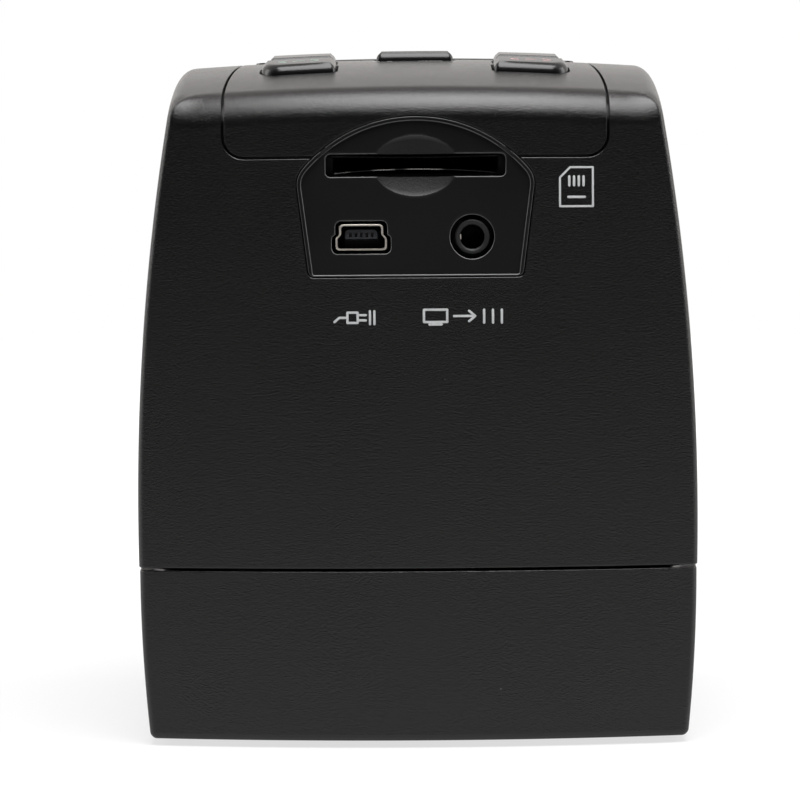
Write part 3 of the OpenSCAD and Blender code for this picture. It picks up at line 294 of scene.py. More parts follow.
def tower(name, skin, across, along, up, post, rim, crown):
    """Closed quad skin of a bowed tower, with rows of faces gathered at its rounded edges."""

    def corner(z):
        x = np.full_like(z, skin.half_w)
        for _ in range(ROUNDS):
            x = skin.side_x(skin.end_y(x), z)
        return x, skin.end_y(x)

    def wall(cells, on_end, sign):
        z = np.full(len(post) * 2 + cells - 1, skin.height)

        def place(z):
            x, y = corner(z)
            half = x if on_end else y
            run = spaced(2 * half, post, post, cells) - half[..., None]
            picked = np.moveaxis(np.diagonal(run, axis1=0, axis2=run.ndim - 1), -1, 0)
            if on_end:
                return picked, sign * skin.end_y(picked)
            return sign * skin.side_x(picked, z), picked

        for _ in range(ROUNDS):
            z = skin.roof(*place(z))
        z = skin.low + spaced(z - skin.low, rim, crown, up)
        return np.stack([*place(z), z], -1)

    front, rear = wall(across, True, -1), wall(across, True, 1)
    left, right = wall(along, False, -1), wall(along, False, 1)
    patches = [front, rear, left, right]
    for row in (0, -1):
        f, r, le, ri = (w[:, row, :2] for w in (front, rear, left, right))
        u = ((f[:, 0] - f[0, 0]) / (f[-1, 0] - f[0, 0]))[:, None, None]
        v = ((le[:, 1] - le[0, 1]) / (le[-1, 1] - le[0, 1]))[None, :, None]
        plan = (1 - v) * f[:, None] + v * r[:, None] + (1 - u) * le[None] + u * ri[None]
        plan = plan - (1 - u) * (1 - v) * f[0] - u * (1 - v) * f[-1]
        plan = plan - (1 - u) * v * r[0] - u * v * r[-1]
        z = skin.roof(plan[..., 0], plan[..., 1]) if row else np.full(plan.shape[:2], skin.low)
        patches.append(np.concatenate([plan, z[..., None]], -1))
    points, faces = [], []
    for patch in patches:
        rows, columns = patch.shape[:2]
        at = sum(len(p) for p in points) + np.arange(rows * columns).reshape(rows, columns)
        points.append(skin.settle(patch.reshape(-1, 3)))
        ring = [at[:-1, :-1], at[1:, :-1], at[1:, 1:], at[:-1, 1:]]
        faces += np.stack(ring, -1).reshape(-1, 4).tolist()
    return solid(name, np.concatenate(points), faces)


# ---- meshes ---------------------------------------------------------------


def link(name, mesh):
    made = bpy.data.objects.new(name, mesh)
    bpy.context.scene.collection.objects.link(made)
    return made


def tidy(mesh, merge=1e-6, flip=True):
    """Merges doubles and turns the faces outwards."""
    work = bmesh.new()
    work.from_mesh(mesh)
    bmesh.ops.remove_doubles(work, verts=work.verts, dist=merge)
    bmesh.ops.dissolve_degenerate(work, edges=work.edges, dist=merge / 4)
    if flip:
        bmesh.ops.recalc_face_normals(work, faces=work.faces)
    work.to_mesh(mesh)
    work.free()


def solid(name, points, faces):
    """An object from points in millimetres."""
    mesh = bpy.data.meshes.new(name)
    mesh.from_pydata((np.asarray(points) * MM).tolist(), [], faces)
    tidy(mesh)
    return link(name, mesh)


def baked(piece):
    """Turns the piece's modifiers into its mesh."""
    graph = bpy.context.evaluated_depsgraph_get()
    mesh = bpy.data.meshes.new_from_object(piece.evaluated_get(graph))
    piece.modifiers.clear()
    old, piece.data = piece.data, mesh
    bpy.data.meshes.remove(old)
    return piece


def drop(*things):
    for thing in things:
        mesh = thing.data
        bpy.data.objects.remove(thing)
        bpy.data.meshes.remove(mesh)


def joined(name, things):
    """One object from several, in place of them."""
    work = bmesh.new()
    for thing in things:
        work.from_mesh(thing.data)
    mesh = bpy.data.meshes.new(name)
    work.to_mesh(mesh)
    work.free()
    drop(*things)
    return link(name, mesh)


def carve(piece, tools):
    """Cuts tools that don't touch each other out of a piece."""
    tool = joined("tool", tools) if len(tools) > 1 else tools[0]
    run = piece.modifiers.new("carve", "BOOLEAN")
    run.solver = "EXACT"
    run.operation = "DIFFERENCE"
    run.object = tool
    baked(piece)
    drop(tool)
    return piece


def read(items, name, kind=float):
    """One property of a mesh's items as a flat array."""
    values = np.zeros(len(items) * (1 if kind is int else 3), kind)
    items.foreach_get(name, values)
    return values


def smoothed(piece, skin=None, angle=32):
    """Smooth shading with sharp edges by angle, and true normals where the mesh lies on a skin."""
    mesh = piece.data
    tidy(mesh, flip=False)
    mesh.shade_smooth()
    mesh.set_sharp_from_angle(angle=math.radians(angle))
    if skin is None:
        return piece
    at = read(mesh.loops, "vertex_index", int)
    given = read(mesh.corner_normals, "vector").reshape(-1, 3)
    place = read(mesh.vertices, "co").reshape(-1, 3) / MM
    counts = read(mesh.polygons, "loop_total", int)
    facing = np.repeat(read(mesh.polygons, "normal").reshape(-1, 3), counts, axis=0)
    true = skin.normal(place)[at]
    on_skin = (np.abs(skin.field(place)[at]) < NEAR_SKIN) & ((facing * true).sum(-1) > SAME_WAY)
    mesh.normals_split_custom_set(np.where(on_skin[:, None], true, given).tolist())
    return piece


class Outline:
    """Closed outline of arcs joined by straight runs. Calling it with a distance grows it.

    An arc is (centre x, centre y, radius, from, to) in degrees. A hollow corner has a
    negative radius.
    """

    def __init__(self, arcs, step=0.8):
        self.arcs = arcs
        self.turns = [
            np.radians(np.linspace(a, b, max(5, int(abs(r * math.radians(b - a)) / step) + 2)))
            for _, _, r, a, b in arcs
        ]
        ends = [self.arc(n, 0) for n in range(len(arcs))]
        gaps = [np.linalg.norm(ends[(n + 1) % len(arcs)][0] - e[-1]) for n, e in enumerate(ends)]
        self.runs = [max(1, int(g / step)) for g in gaps]

    def arc(self, n, grow):
        x, y, r, _, _ = self.arcs[n]
        reach = max(abs(r) + (grow if r > 0 else -grow), 0.015)
        turn = self.turns[n]
        return np.stack([x + reach * np.cos(turn), y + reach * np.sin(turn)], -1)

    def __call__(self, grow=0.0):
        ends = [self.arc(n, grow) for n in range(len(self.arcs))]
        out = []
        for n, points in enumerate(ends):
            out.append(points)
            share = (np.arange(1, self.runs[n]) / self.runs[n])[:, None]
            out.append(points[-1] * (1 - share) + ends[(n + 1) % len(ends)][0] * share)
        return np.concatenate(out)


def plate(x0, x1, y0, y1, radii, step=0.8):
    """Rectangle outline with corner radii: low-left, low-right, high-right, high-left."""
    a, b, c, d = radii if np.ndim(radii) else (radii,) * 4
    return Outline(
        [
            (x0 + a, y0 + a, a, 180, 270),
            (x1 - b, y0 + b, b, 270, 360),
            (x1 - c, y1 - c, c, 0, 90),
            (x0 + d, y1 - d, d, 90, 180),
        ],
        step,
    )


def disc(x, y, r, step=0.4):
    return Outline([(x, y, r, 0, 180), (x, y, r, 180, 360)], step)


def pillow(name, outline, rows, place, rings=(1, 1)):
    """Closed solid over an outline. Rows are (grow, depth), and rings fill its two ends."""

    def inward(row, count):
        grow, depth = row
        edge = outline(grow)
        middle = edge.mean(0)
        shares = [1 - n / count for n in range(1, count)]
        nested = [place(*(middle + (edge - middle) * share).T, depth) for share in shares]
        return [*nested, place(*middle[:, None], depth)]

    loops = inward(rows[0], rings[0])[::-1]
    loops += [place(*outline(grow).T, depth) for grow, depth in rows]
    loops += inward(rows[-1], rings[1])
    count = len(loops[1])
    starts = np.cumsum([0] + [len(loop) for loop in loops])
    faces = []
    for n in range(len(loops) - 1):
        a, b = starts[n], starts[n + 1]
        for k in range(count):
            m = (k + 1) % count
            if len(loops[n]) == 1:
                faces.append((a, b + k, b + m))
            elif len(loops[n + 1]) == 1:
                faces.append((a + k, a + m, b))
            else:
                faces.append((a + k, a + m, b + m, b + k))
    return solid(name, np.concatenate(loops), faces)


def mouth(r, start, end, out=-12):
    """Rows of a cutter whose hole has a rounded mouth at depth start."""
    turn = np.radians([20, 36, 52, 70, 90])
    arc = [(r * (1 - math.sin(t)), start + r * (1 - math.cos(t))) for t in turn]
    flare = (arc[0][0] + 0.94, arc[0][1] - 0.34)
    return [(flare[0], out), flare, *arc, (0, end)]


def cut(piece, outline, rows, place, rings=(1, 1)):
    """Cuts one pillow out of a piece."""
    return carve(piece, [pillow("cutter", outline, rows, place, rings)])


def grown(rows, by):
    """The same rows round a wider outline."""
    return [(grow + by, depth) for grow, depth in rows]


def shoulder(r, start):
    """Rows that round the edge of a solid whose top lies at depth start."""
    return [
        (-r * (1 - math.cos(t)), start + r * (1 - math.sin(t)))
        for t in np.radians([0, 20, 40, 60, 78, 90])
    ]


def lathe(name, profile, sides=48):
    """Solid of revolution about Z. The profile is (radius, height), and its ends lie on the axis."""
    turn = np.linspace(0, 2 * math.pi, sides, endpoint=False)
    points, faces = [], []
    for r, z in profile:
        points += [(r * math.cos(t), r * math.sin(t), z) for t in turn]
    for n in range(len(profile) - 1):
        for k in range(sides):
            m = (k + 1) % sides
            a, b = n * sides, (n + 1) * sides
            faces.append((a + k, a + m, b + m, b + k))
    return solid(name, points, faces)


def column(inner, outer, tall, sides, x, y, z):
    """Upright post, or a tube where it has an inner radius."""
    profile = [(inner, 0), (outer, 0), (outer, tall), (inner, tall)]
    return moved(lathe("column", profile + profile[:1] * (inner > 0), sides), x, y, z)


def moved(piece, x=0, y=0, z=0, turn=None):
    """Puts the place of a piece, in millimetres, into its mesh."""
    turned = Euler([math.radians(a) for a in turn]).to_matrix().to_4x4() if turn else Matrix()
    piece.data.transform(Matrix.Translation((x * MM, y * MM, z * MM)) @ turned)
    return piece


# ---- places on the skin ---------------------------------------------------


def laid(a, b, axis, value):
    """Points from two coordinates, with one value on the axis between or after them."""
    points = [a, b]
    points.insert(axis, np.full_like(a, value))
    return np.stack(points, -1)


def onto(skin, axis, start, reach):
    """Places on a skin, found along an axis from a far start, with depth counted inwards."""
    way = np.zeros(3)
    way[axis] = -np.sign(start)

    def place(a, b, depth):
        return skin.hit(laid(a, b, axis, start), way, reach) + way * depth

    return place


def on_front(skin):
    return onto(skin, 1, -60.0, 45)


def on_top(skin):
    return onto(skin, 2, 120.0, 50)


def on_side(skin, sign):
    def place(y, z, depth):
        return np.stack([sign * (skin.side_x(y, z) - depth), y, z], -1)

    return place


def flat(axis, at, sign=1):
    """Places on a level face across an axis, with depth counted along it or against it."""

    def place(a, b, depth):
        return laid(a, b, axis, at + sign * depth)

    return place


def flat_top(z):
    return flat(2, z, -1)


def flat_front(y):
    return flat(1, y)


class Wrap:
    """Unrolls the middle line over front, top and rear, so that an outline can follow it."""

    def __init__(self, skin, mid_z=60.0):
        self.skin = skin
        turn = np.radians(np.linspace(-8, 188, 2400))
        way = np.stack([0 * turn, -np.cos(turn), np.sin(turn)], -1)
        middle = np.array([0, 0, mid_z])
        self.line = skin.hit(middle + way * 80, -way, 70)
        steps = np.linalg.norm(np.diff(self.line, axis=0), axis=1)
        self.run = np.concatenate([[0], np.cumsum(steps)])
        self.out = skin.normal(self.line)

    def at_height(self, z, rear=False):
        """How far along the middle line a height lies."""
        half = self.line[:, 1] > 0 if rear else self.line[:, 1] < -30
        heights, runs = self.line[half, 2], self.run[half]
        order = np.argsort(heights)
        return float(np.interp(z, heights[order], runs[order]))

    def __call__(self, x, s, depth):
        base = np.stack([np.interp(s, self.run, self.line[:, n]) for n in range(3)], -1)
        out = np.stack([np.interp(s, self.run, self.out[:, n]) for n in range(3)], -1)
        out /= np.linalg.norm(out, axis=-1, keepdims=True)
        base[..., 0] = x
        return self.skin.hit(base + out * 3, -out, 14) - out * depth


# ---- node trees -----------------------------------------------------------


def add(tree, kind, values=None, **settings):
    """A node with its settings, and its inputs set or linked by name or number."""
    made = tree.nodes.new(kind)
    for name, value in settings.items():
        setattr(made, name, value)
    for key, value in (values or {}).items():
        socket = made.inputs[key]
        if isinstance(value, bpy.types.NodeSocket):
            tree.links.new(value, socket)
        else:
            socket.default_value = value
    return made


def node_tree(name, kind, inputs, outputs):
    """A new node tree, the outputs of its group input, and its group output."""
    tree = bpy.data.node_groups.new(name, kind)
    for direction, wanted in (("INPUT", inputs), ("OUTPUT", outputs)):
        for label, sort, *default in wanted:
            sort = "NodeSocket" + sort
            made = tree.interface.new_socket(name=label, in_out=direction, socket_type=sort)
            if default:
                made.default_value = default[0]
    return tree, add(tree, "NodeGroupInput").outputs, add(tree, "NodeGroupOutput")


def feed(node, **sources):
    """Links sources to a node's inputs. An underscore in a name stands for a space."""
    for name, source in sources.items():
        node.id_data.links.new(source, node.inputs[name.replace("_", " ")])


def source_of(node, name):
    """What feeds an input so far."""
    return node.inputs[name].links[0].from_socket


def math_node(tree, operation, *values, clamp=False):
    values = dict(enumerate(values))
    return add(tree, "ShaderNodeMath", values, operation=operation, use_clamp=clamp).outputs[0]


def vector_node(tree, operation, values):
    return add(tree, "ShaderNodeVectorMath", values, operation=operation).outputs


def scaled(tree, colour, share):
    """A colour made lighter or darker."""
    return vector_node(tree, "SCALE", {0: colour, "Scale": share})[0]


def along(tree, vector, axis):
    return add(tree, "ShaderNodeSeparateXYZ", {0: vector}).outputs[axis]


def noise(tree, place, scale, **settings):
    values = {"Vector": place, "Scale": scale, **settings}
    return add(tree, "ShaderNodeTexNoise", values).outputs["Fac"]


def mixed(tree, share, first, second):
    values = {"Factor": share, 6: first, 7: second}
    return add(tree, "ShaderNodeMix", values, data_type="RGBA").outputs[2]


def ramp(tree, value, start, end, low=0.0, high=1.0, smooth=False):
    """A value that goes from low to high while another goes from start to end."""
    span = {"Value": value, "From Min": start, "From Max": end, "To Min": low, "To Max": high}
    kind = "SMOOTHSTEP" if smooth else "LINEAR"
    return add(tree, "ShaderNodeMapRange", span, interpolation_type=kind).outputs[0]


def grain_group():
    """Moulded grain: the fine pitted skin that a spark-eroded mould leaves."""
    tree, into, out = node_tree(
        "Moulded grain", "ShaderNodeTree",
        [("Vector", "Vector"), ("Count", "Float", 2300.0), ("Cloud", "Float", 0.35)],
        [("Height", "Float"), ("Tone", "Float")],
    )
    place, count = into["Vector"], into["Count"]
    coarse = noise(tree, place, count, Detail=1.5, Roughness=0.55, Distortion=0.15)
    pits = {"Vector": place, "Scale": math_node(tree, "MULTIPLY", count, 1.9), "Smoothness": 0.7}
    pits = add(tree, "ShaderNodeTexVoronoi", pits, feature="SMOOTH_F1").outputs["Distance"]
    shift = math_node(tree, "SUBTRACT", noise(tree, place, 55.0, Detail=4.0, Roughness=0.6), 0.5)
    feed(
        out,
        Height=math_node(tree, "MULTIPLY_ADD", pits, 0.45, coarse),
        Tone=math_node(tree, "MULTIPLY_ADD", shift, into["Cloud"], 1.0),
    )
    return tree


def dust_group():
    """Sparse specks of dust that settle on a surface."""
    tree, into, out = node_tree(
        "Settled dust", "ShaderNodeTree",
        [("Vector", "Vector"), ("Spread", "Float", 330.0), ("Amount", "Float", 0.5)],
        [("Mask", "Float")],
    )
    cells = {"Vector": into["Vector"], "Scale": into["Spread"], "Randomness": 1.0}
    cells = add(tree, "ShaderNodeTexVoronoi", cells, feature="F1").outputs
    luck = add(tree, "ShaderNodeSeparateColor", {"Color": cells["Color"]}).outputs
    size = math_node(tree, "MULTIPLY", luck[1], 0.035)
    speck = math_node(tree, "LESS_THAN", cells["Distance"], size)
    rare = math_node(tree, "GREATER_THAN", luck[0], 0.93)
    mask = math_node(tree, "MULTIPLY", speck, rare)
    feed(out, Mask=math_node(tree, "MULTIPLY", mask, into["Amount"]))
    return tree


def grouped(m, name, maker, **values):
    """The outputs of a shared shader group in a material, with the group made once."""
    shared = bpy.data.node_groups.get(name) or maker()
    return add(m.tree, "ShaderNodeGroup", {"Vector": m.place, **values}, node_tree=shared).outputs


def material(name, metallic=0.0, specular=0.5, **fixed):
    """A Principled material and its tree, with Object coordinates ready."""
    made = bpy.data.materials.new(name)
    made.use_nodes = True
    tree = made.node_tree
    tree.nodes.clear()
    surface = add(tree, "ShaderNodeBsdfPrincipled", {"Metallic": metallic, "IOR": 1.5})
    surface.inputs["Specular IOR Level"].default_value = specular
    for key, value in fixed.items():
        surface.inputs[key.replace("_", " ")].default_value = value
    feed(add(tree, "ShaderNodeOutputMaterial"), Surface=surface.outputs[0])
    place = add(tree, "ShaderNodeTexCoord").outputs["Object"]
    return SimpleNamespace(made=made, tree=tree, surface=surface, place=place)


def bumped(m, height, depth):
    """Raises a material by a height, on top of any bump that it has."""
    values = {"Distance": depth, "Height": height}
    if m.surface.inputs["Normal"].links:
        values["Normal"] = source_of(m.surface, "Normal")
    feed(m.surface, Normal=add(m.tree, "ShaderNodeBump", values).outputs[0])
    return m


def varied(m, colour, tone, rough):
    """Base colour and roughness, each from a pattern, a factor and an offset."""
    tone, rough = (math_node(m.tree, "MULTIPLY_ADD", *part) for part in (tone, rough))
    feed(m.surface, Base_Color=scaled(m.tree, tuple(colour), tone), Roughness=rough)
    return m


def moulded(name, colour, roughness, grain, depth, cloud=0.3, dust=0.35, specular=0.5):
    """Moulded plastic with its grain, a little cloudiness and settled dust."""
    m = material(name, specular=specular)
    skin = grouped(m, "Moulded grain", grain_group, Count=grain, Cloud=cloud)
    specks = grouped(m, "Settled dust", dust_group, Amount=dust)["Mask"]
    clean = scaled(m.tree, tuple(colour), skin["Tone"])
    feed(
        m.surface,
        Base_Color=mixed(m.tree, specks, clean, (0.45, 0.45, 0.46, 1)),
        Roughness=math_node(m.tree, "MULTIPLY", skin["Tone"], roughness, clamp=True),
    )
    return bumped(m, skin["Height"], depth)


def dished(m, centre, radii, depth):
    """Makes a material leathery and duller inside an ellipse seen from the front, and paints it paler
    there: painted light that the scoop picks up from its surroundings.
    """
    tree, surface = m.tree, m.surface
    near = vector_node(tree, "SUBTRACT", {0: m.place, 1: centre})[0]
    near = vector_node(tree, "MULTIPLY", {0: near, 1: (1 / radii[0], 0.0, 1 / radii[1])})[0]
    away = vector_node(tree, "LENGTH", {0: near})["Value"]
    inside = ramp(tree, away, 0.88, 1.0, 1.0, 0.0)
    hide = noise(tree, m.place, 950.0, Detail=3.0, Roughness=0.6, Distortion=1.8)
    bumped(m, math_node(tree, "MULTIPLY", hide, inside), depth)
    level = surface.inputs["Specular IOR Level"].default_value
    feed(
        surface,
        Roughness=math_node(tree, "MULTIPLY_ADD", inside, 0.16, source_of(surface, "Roughness")),
        Specular_IOR_Level=math_node(tree, "MULTIPLY_ADD", inside, level * -0.45, level),
        # Painted light: the paler colour inside the scoop.
        Base_Color=mixed(tree, inside, source_of(surface, "Base Color"), (0.03, 0.03, 0.0305, 1)),
    )
    return m


def dimmed(m, share):
    """Scales a material's base colour."""
    feed(m.surface, Base_Color=scaled(m.tree, source_of(m.surface, "Base Color"), share))
    return m


def lipped(m, lip, reach, deep):
    """Darkens a material behind its front lip, where an opening keeps the light out."""
    return dimmed(m, ramp(m.tree, along(m.tree, m.place, "Y"), lip, lip + reach, 1.0, deep))


def patch_shaded(m):
    """Darkens a plated finish almost to black in random patches: painted shade that leaves its
    highlight only in parts.
    """
    patch = noise(m.tree, m.place, 330.0, Detail=1.0)
    return dimmed(m, ramp(m.tree, patch, 0.48, 0.62, 0.08, 1.0))


def edge_highlighted(m, colour):
    """Lightens the rounded edges of a panel that faces the front: a painted highlight where those
    edges catch the light.
    """
    turned = along(m.tree, add(m.tree, "ShaderNodeTexCoord").outputs["Normal"], "Y")
    steep = ramp(m.tree, turned, -0.85, -0.6)
    hidden = ramp(m.tree, turned, -0.2, -0.05, 1.0, 0.0)
    edge = math_node(m.tree, "MULTIPLY", steep, hidden)
    feed(m.surface, Base_Color=mixed(m.tree, edge, source_of(m.surface, "Base Color"), colour))
    return m


def plated(name, colour, roughness):
    """Rolled and plated metal with fine draw lines and slight stains."""
    m = material(name, metallic=1.0)
    drawn = add(m.tree, "ShaderNodeMapping", {"Vector": m.place, "Scale": (900, 60, 900)})
    lines = noise(m.tree, drawn.outputs[0], 3.0, Detail=3.0)
    stain = noise(m.tree, m.place, 420.0, Detail=3.0)
    varied(m, colour, (stain, 0.5, 0.75), (lines, roughness, roughness * 0.5))
    return bumped(m, lines, 2e-6)


def glossy(name, colour, roughness, coat=0.0):
    """Polished moulding with faint wipe marks."""
    m = material(name, Coat_Weight=coat, Coat_Roughness=0.03)
    wipes = noise(m.tree, m.place, 90.0, Detail=6.0, Distortion=2.0)
    return varied(m, colour, (wipes, 0.2, 0.9), (wipes, roughness, roughness * 0.4))


def circuit(name, colour):
    """Solder mask over copper: lighter tracks in a square weave under a gloss."""
    m = material(name, Coat_Weight=0.4, Coat_Roughness=0.15)
    tracks = {"Vector": m.place, "Scale": 420.0, "Mortar Size": 0.06, "Bias": -0.2}
    for part, level in (("Color1", 1.0), ("Color2", 0.72), ("Mortar", 1.7)):
        tracks[part] = (level, level, level, 1)
    tracks = add(m.tree, "ShaderNodeTexBrick", tracks).outputs["Color"]
    grey = add(m.tree, "ShaderNodeRGBToBW", {"Color": tracks}).outputs[0]
    varied(m, colour, (grey, 1.0, 0.0), (noise(m.tree, m.place, 200.0), 0.2, 0.3))
    return bumped(m, grey, 8e-6)


def ink(name, colour):
    """Pad-printed ink, slightly uneven."""
    m = material(name, specular=0.3)
    patchy = noise(m.tree, m.place, 2600.0, Detail=2.0)
    return varied(m, colour, (patchy, 0.25, 0.86), (patchy, 0.2, 0.45)).made


def finish(slot):
    """The material of a record slot or of a look of its own, made once."""
    name = "scanner_" + slot
    if name in bpy.data.materials:
        return bpy.data.materials[name]
    c = bpy.context.scene.scanner_colours
    grain = c.grain_count
    housing = (c.black, 0.26, grain * 1.3, 4.2e-5, 0.3, 0.5, 0.65)
    panel = (c.panel, 0.38, grain, 5e-6, 0.3, 0.4, 0.35)
    # Centre, radii and bump depth of the thumb scoop, which also takes a paler colour as painted
    # light.
    scoop = ((0, 0, 0.0855), (0.0062, 0.0048), 1.1e-4)
    makers = {
        "grained_abs": lambda: moulded(name, *housing),
        "cover_abs": lambda: moulded(name, *housing),
        # The grey on the panel's rounded edges is a painted highlight.
        "panel_abs": lambda: edge_highlighted(dished(moulded(name, *panel), *scoop), (0.34, 0.34, 0.34, 1)),
        "key_abs": lambda: moulded(name, c.panel, 0.24, grain, 3e-6),
        "tongue_abs": lambda: moulded(name, (0.055, 0.058, 0.066), 0.4, grain, 4e-6, dust=0),
        "inner_black": lambda: moulded(name, (0.012, 0.012, 0.013), 0.5, grain, 6e-6, dust=0.2),
        "inner_white": lambda: moulded(name, (0.72, 0.71, 0.68), 0.45, grain, 4e-6, 0.1, 0),
        "opal": lambda: moulded(name, (0.86, 0.86, 0.84), 0.3, grain, 2e-6, 0.05, 0),
        "foot_rubber": lambda: moulded(name, (0.016,) * 3, 0.75, grain * 0.7, 2e-5, specular=0.3),
        "module_steel": lambda: plated(name, c.steel, 0.35),
        "contact_steel": lambda: plated(name, c.steel, 0.22),
        "lip_steel": lambda: lipped(plated(name, (0.76, 0.71, 0.64), 0.5), -0.04275, 0.0003, 0.03),
        "dull_steel": lambda: plated(name, (0.85, 0.80, 0.74), 0.5),
        # Painted shade in patches, so that the strip's highlight shows only in parts.
        "worn_steel": lambda: patch_shaded(plated(name, c.steel, 0.25)),
        "shaded_steel": lambda: plated(name, (0.03,) * 3, 0.5),
        "contact_gold": lambda: plated(name, c.gold, 0.2),
        "standoff_brass": lambda: plated(name, (0.62, 0.47, 0.22), 0.25),
        "screw_steel": lambda: plated(name, (0.5, 0.5, 0.51), 0.3),
        "window": lambda: glossy(name, (0.006, 0.006, 0.007), 0.05, coat=0.6),
        "lens_glass": lambda: glossy(name, (0.02, 0.03, 0.05), 0.02, coat=1.0),
        "chip_glass": lambda: glossy(name, (0.03, 0.025, 0.05), 0.04, coat=1.0),
        "wire": lambda: glossy(name, (0.42, 0.03, 0.02), 0.3),
        "flex": lambda: glossy(name, (0.42, 0.19, 0.03), 0.25),
        "circuit_board": lambda: circuit(name, c.mask),
    }
    return makers[slot]().made


def placed(piece, slot, nodes, body=HOUSING, look=None):
    """Gives a finished piece its material, its body and the CAD nodes that it stands for."""
    piece.data.materials.clear()
    piece.data.materials.append(finish(look or slot))
    for face in piece.data.polygons:
        face.material_index = 0
    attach(piece, body)
    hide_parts(*nodes)
    return piece


def inlaid(piece, extra, look):
    """Joins a small part with a finish of its own to a finished piece."""
    extra.data.materials.append(finish(look))
    return with_inside(piece.name, piece, extra)


# ---- shared shapes of this object -----------------------------------------


def upper_skin():
    s = in_mm("housing")
    return Skin(
        half_w=s.width / 2, half_d=s.depth / 2, end_bow=s.end_bow, side_bow=s.side_bow,
        wall_bow=s.wall_bow, wall_mid=s.wall_mid, height=s.height, slope_bow=s.slope_bow,
        slope_run=s.slope_run, slope_from=s.depth / 2, crown_bow=s.crown_bow, low=s.seam,
        post_r=s.post_round, front_r=s.front_round, rear_r=s.rear_round, side_r=s.side_round,
        low_r=s.rim_round,
    )


def base_skin():
    s = in_mm("housing")
    return Skin(
        half_w=s.width / 2 - s.seam_step, half_d=s.depth / 2 - s.seam_step,
        end_bow=s.end_bow - s.seam_step, side_bow=s.side_bow - s.seam_step,
        wall_bow=s.base_bow, wall_mid=s.seam, height=s.base_high, slope_bow=1e4, slope_run=0,
        slope_from=0, crown_bow=1e9, low=s.base_low, post_r=s.post_round, front_r=s.rim_round,
        rear_r=s.rim_round, side_r=s.rim_round, low_r=s.foot_round,
    )


def arch(drop=0.0):
    """Outline of the port panel in front view, with its foot lowered by a drop."""
    o = in_mm("openings")
    tilt, foot, rise = 7.33, 0.8, 1.45
    lean, top_z = math.radians(tilt), o.arch_low + rise
    half, fillet = o.arch_width / 2, o.arch_fillet
    start = np.array([half - fillet * math.cos(lean), o.arch_low + fillet * math.sin(lean)])
    way = np.array([math.sin(lean), math.cos(lean)])
    w = start - (0, top_z)
    b = w @ way
    c = start + way * (-b + math.sqrt(b * b - w @ w + (o.arch_radius - fillet) ** 2))
    turn = math.degrees(math.atan2(c[1] - top_z, c[0]))
    foot_x = half + (foot - drop) * math.tan(lean) - foot / math.cos(lean)
    foot_z = o.arch_low + foot - drop
    return Outline(
        [
            (foot_x, foot_z, foot, -90, -tilt),
            (c[0], c[1], fillet, -tilt, turn),
            (0, top_z, o.arch_radius, turn, 180 - turn),
            (-c[0], c[1], fillet, 180 - turn, 180 + tilt),
            (-foot_x, foot_z, foot, 180 + tilt, 270),
        ],
        0.5,
    )


STRIP_SHARE = 0.988  # the strip's width against the CAD's
WAIST_START, WAIST_RUN = 14, 34  # where it narrows, in millimetres up from its lower seam


def strip(wrap):
    """Outline of the cover strip on the unrolled middle line."""
    o = in_mm("openings")
    low, high = wrap.at_height(o.cover_seam), wrap.at_height(o.cover_seam, rear=True)
    full = plate(-o.cover_width / 2, o.cover_width / 2, low, high, o.cover_corner, 0.8)

    def narrowed(grow=0.0):
        points = full(grow)
        over_top = eased((points[:, 1] - low - WAIST_START) / WAIST_RUN)
        points[:, 0] *= STRIP_SHARE - o.cover_waist * over_top
        return points

    return narrowed


def key_places():
    """Name, centre, half size and corner radii of each key in plan."""
    k = in_mm("keys")
    front = front_y()
    half, run = k.width / 2, k.run / 2
    big, small = 3.0, 0.8
    low, middle, high = front + 17.35, front + 25.2, front + 30.5
    return {
        "front_left": (-k.offset, low, half, run, (big, small, small, small)),
        "front_right": (k.offset, low, half, run, (small, big, small, small)),
        "rear_left": (0.2 - k.offset, middle, half - 0.45, run, (small,) * 4),
        "rear_right": (k.offset - 0.2, middle, half - 0.45, run, (small,) * 4),
        "centre": (0.0, high, half + 0.35, run, (small,) * 4),
    }


def key_holes(skin, rows):
    """Cutters of the five key holes."""
    return [pillow("hole", key_outline(*k), rows, on_top(skin), (8, 8)) for k in key_places().values()]


def key_outline(x, y, half, run, radii):
    return plate(x - half, x + half, y - run, y + run, radii, 0.4)


def window_outline(grow=0.0, radius=1.5):
    k = in_mm("keys")
    front = front_y() + k.window_front
    half = k.window_width / 2 + grow
    return plate(-half, half, front - grow, front + k.window_run + grow, radius, 1.0)


SCREW_PLACES = [(x, y) for x in (-24.0, 24.0) for y in (-37.2, 37.2)]
FOOT_PLACES = [(x, y) for x in (-30, 30) for y in (-29, 29)]
WELL_RADIUS = 2.8


# ---- operators: shell -----------------------------------------------------


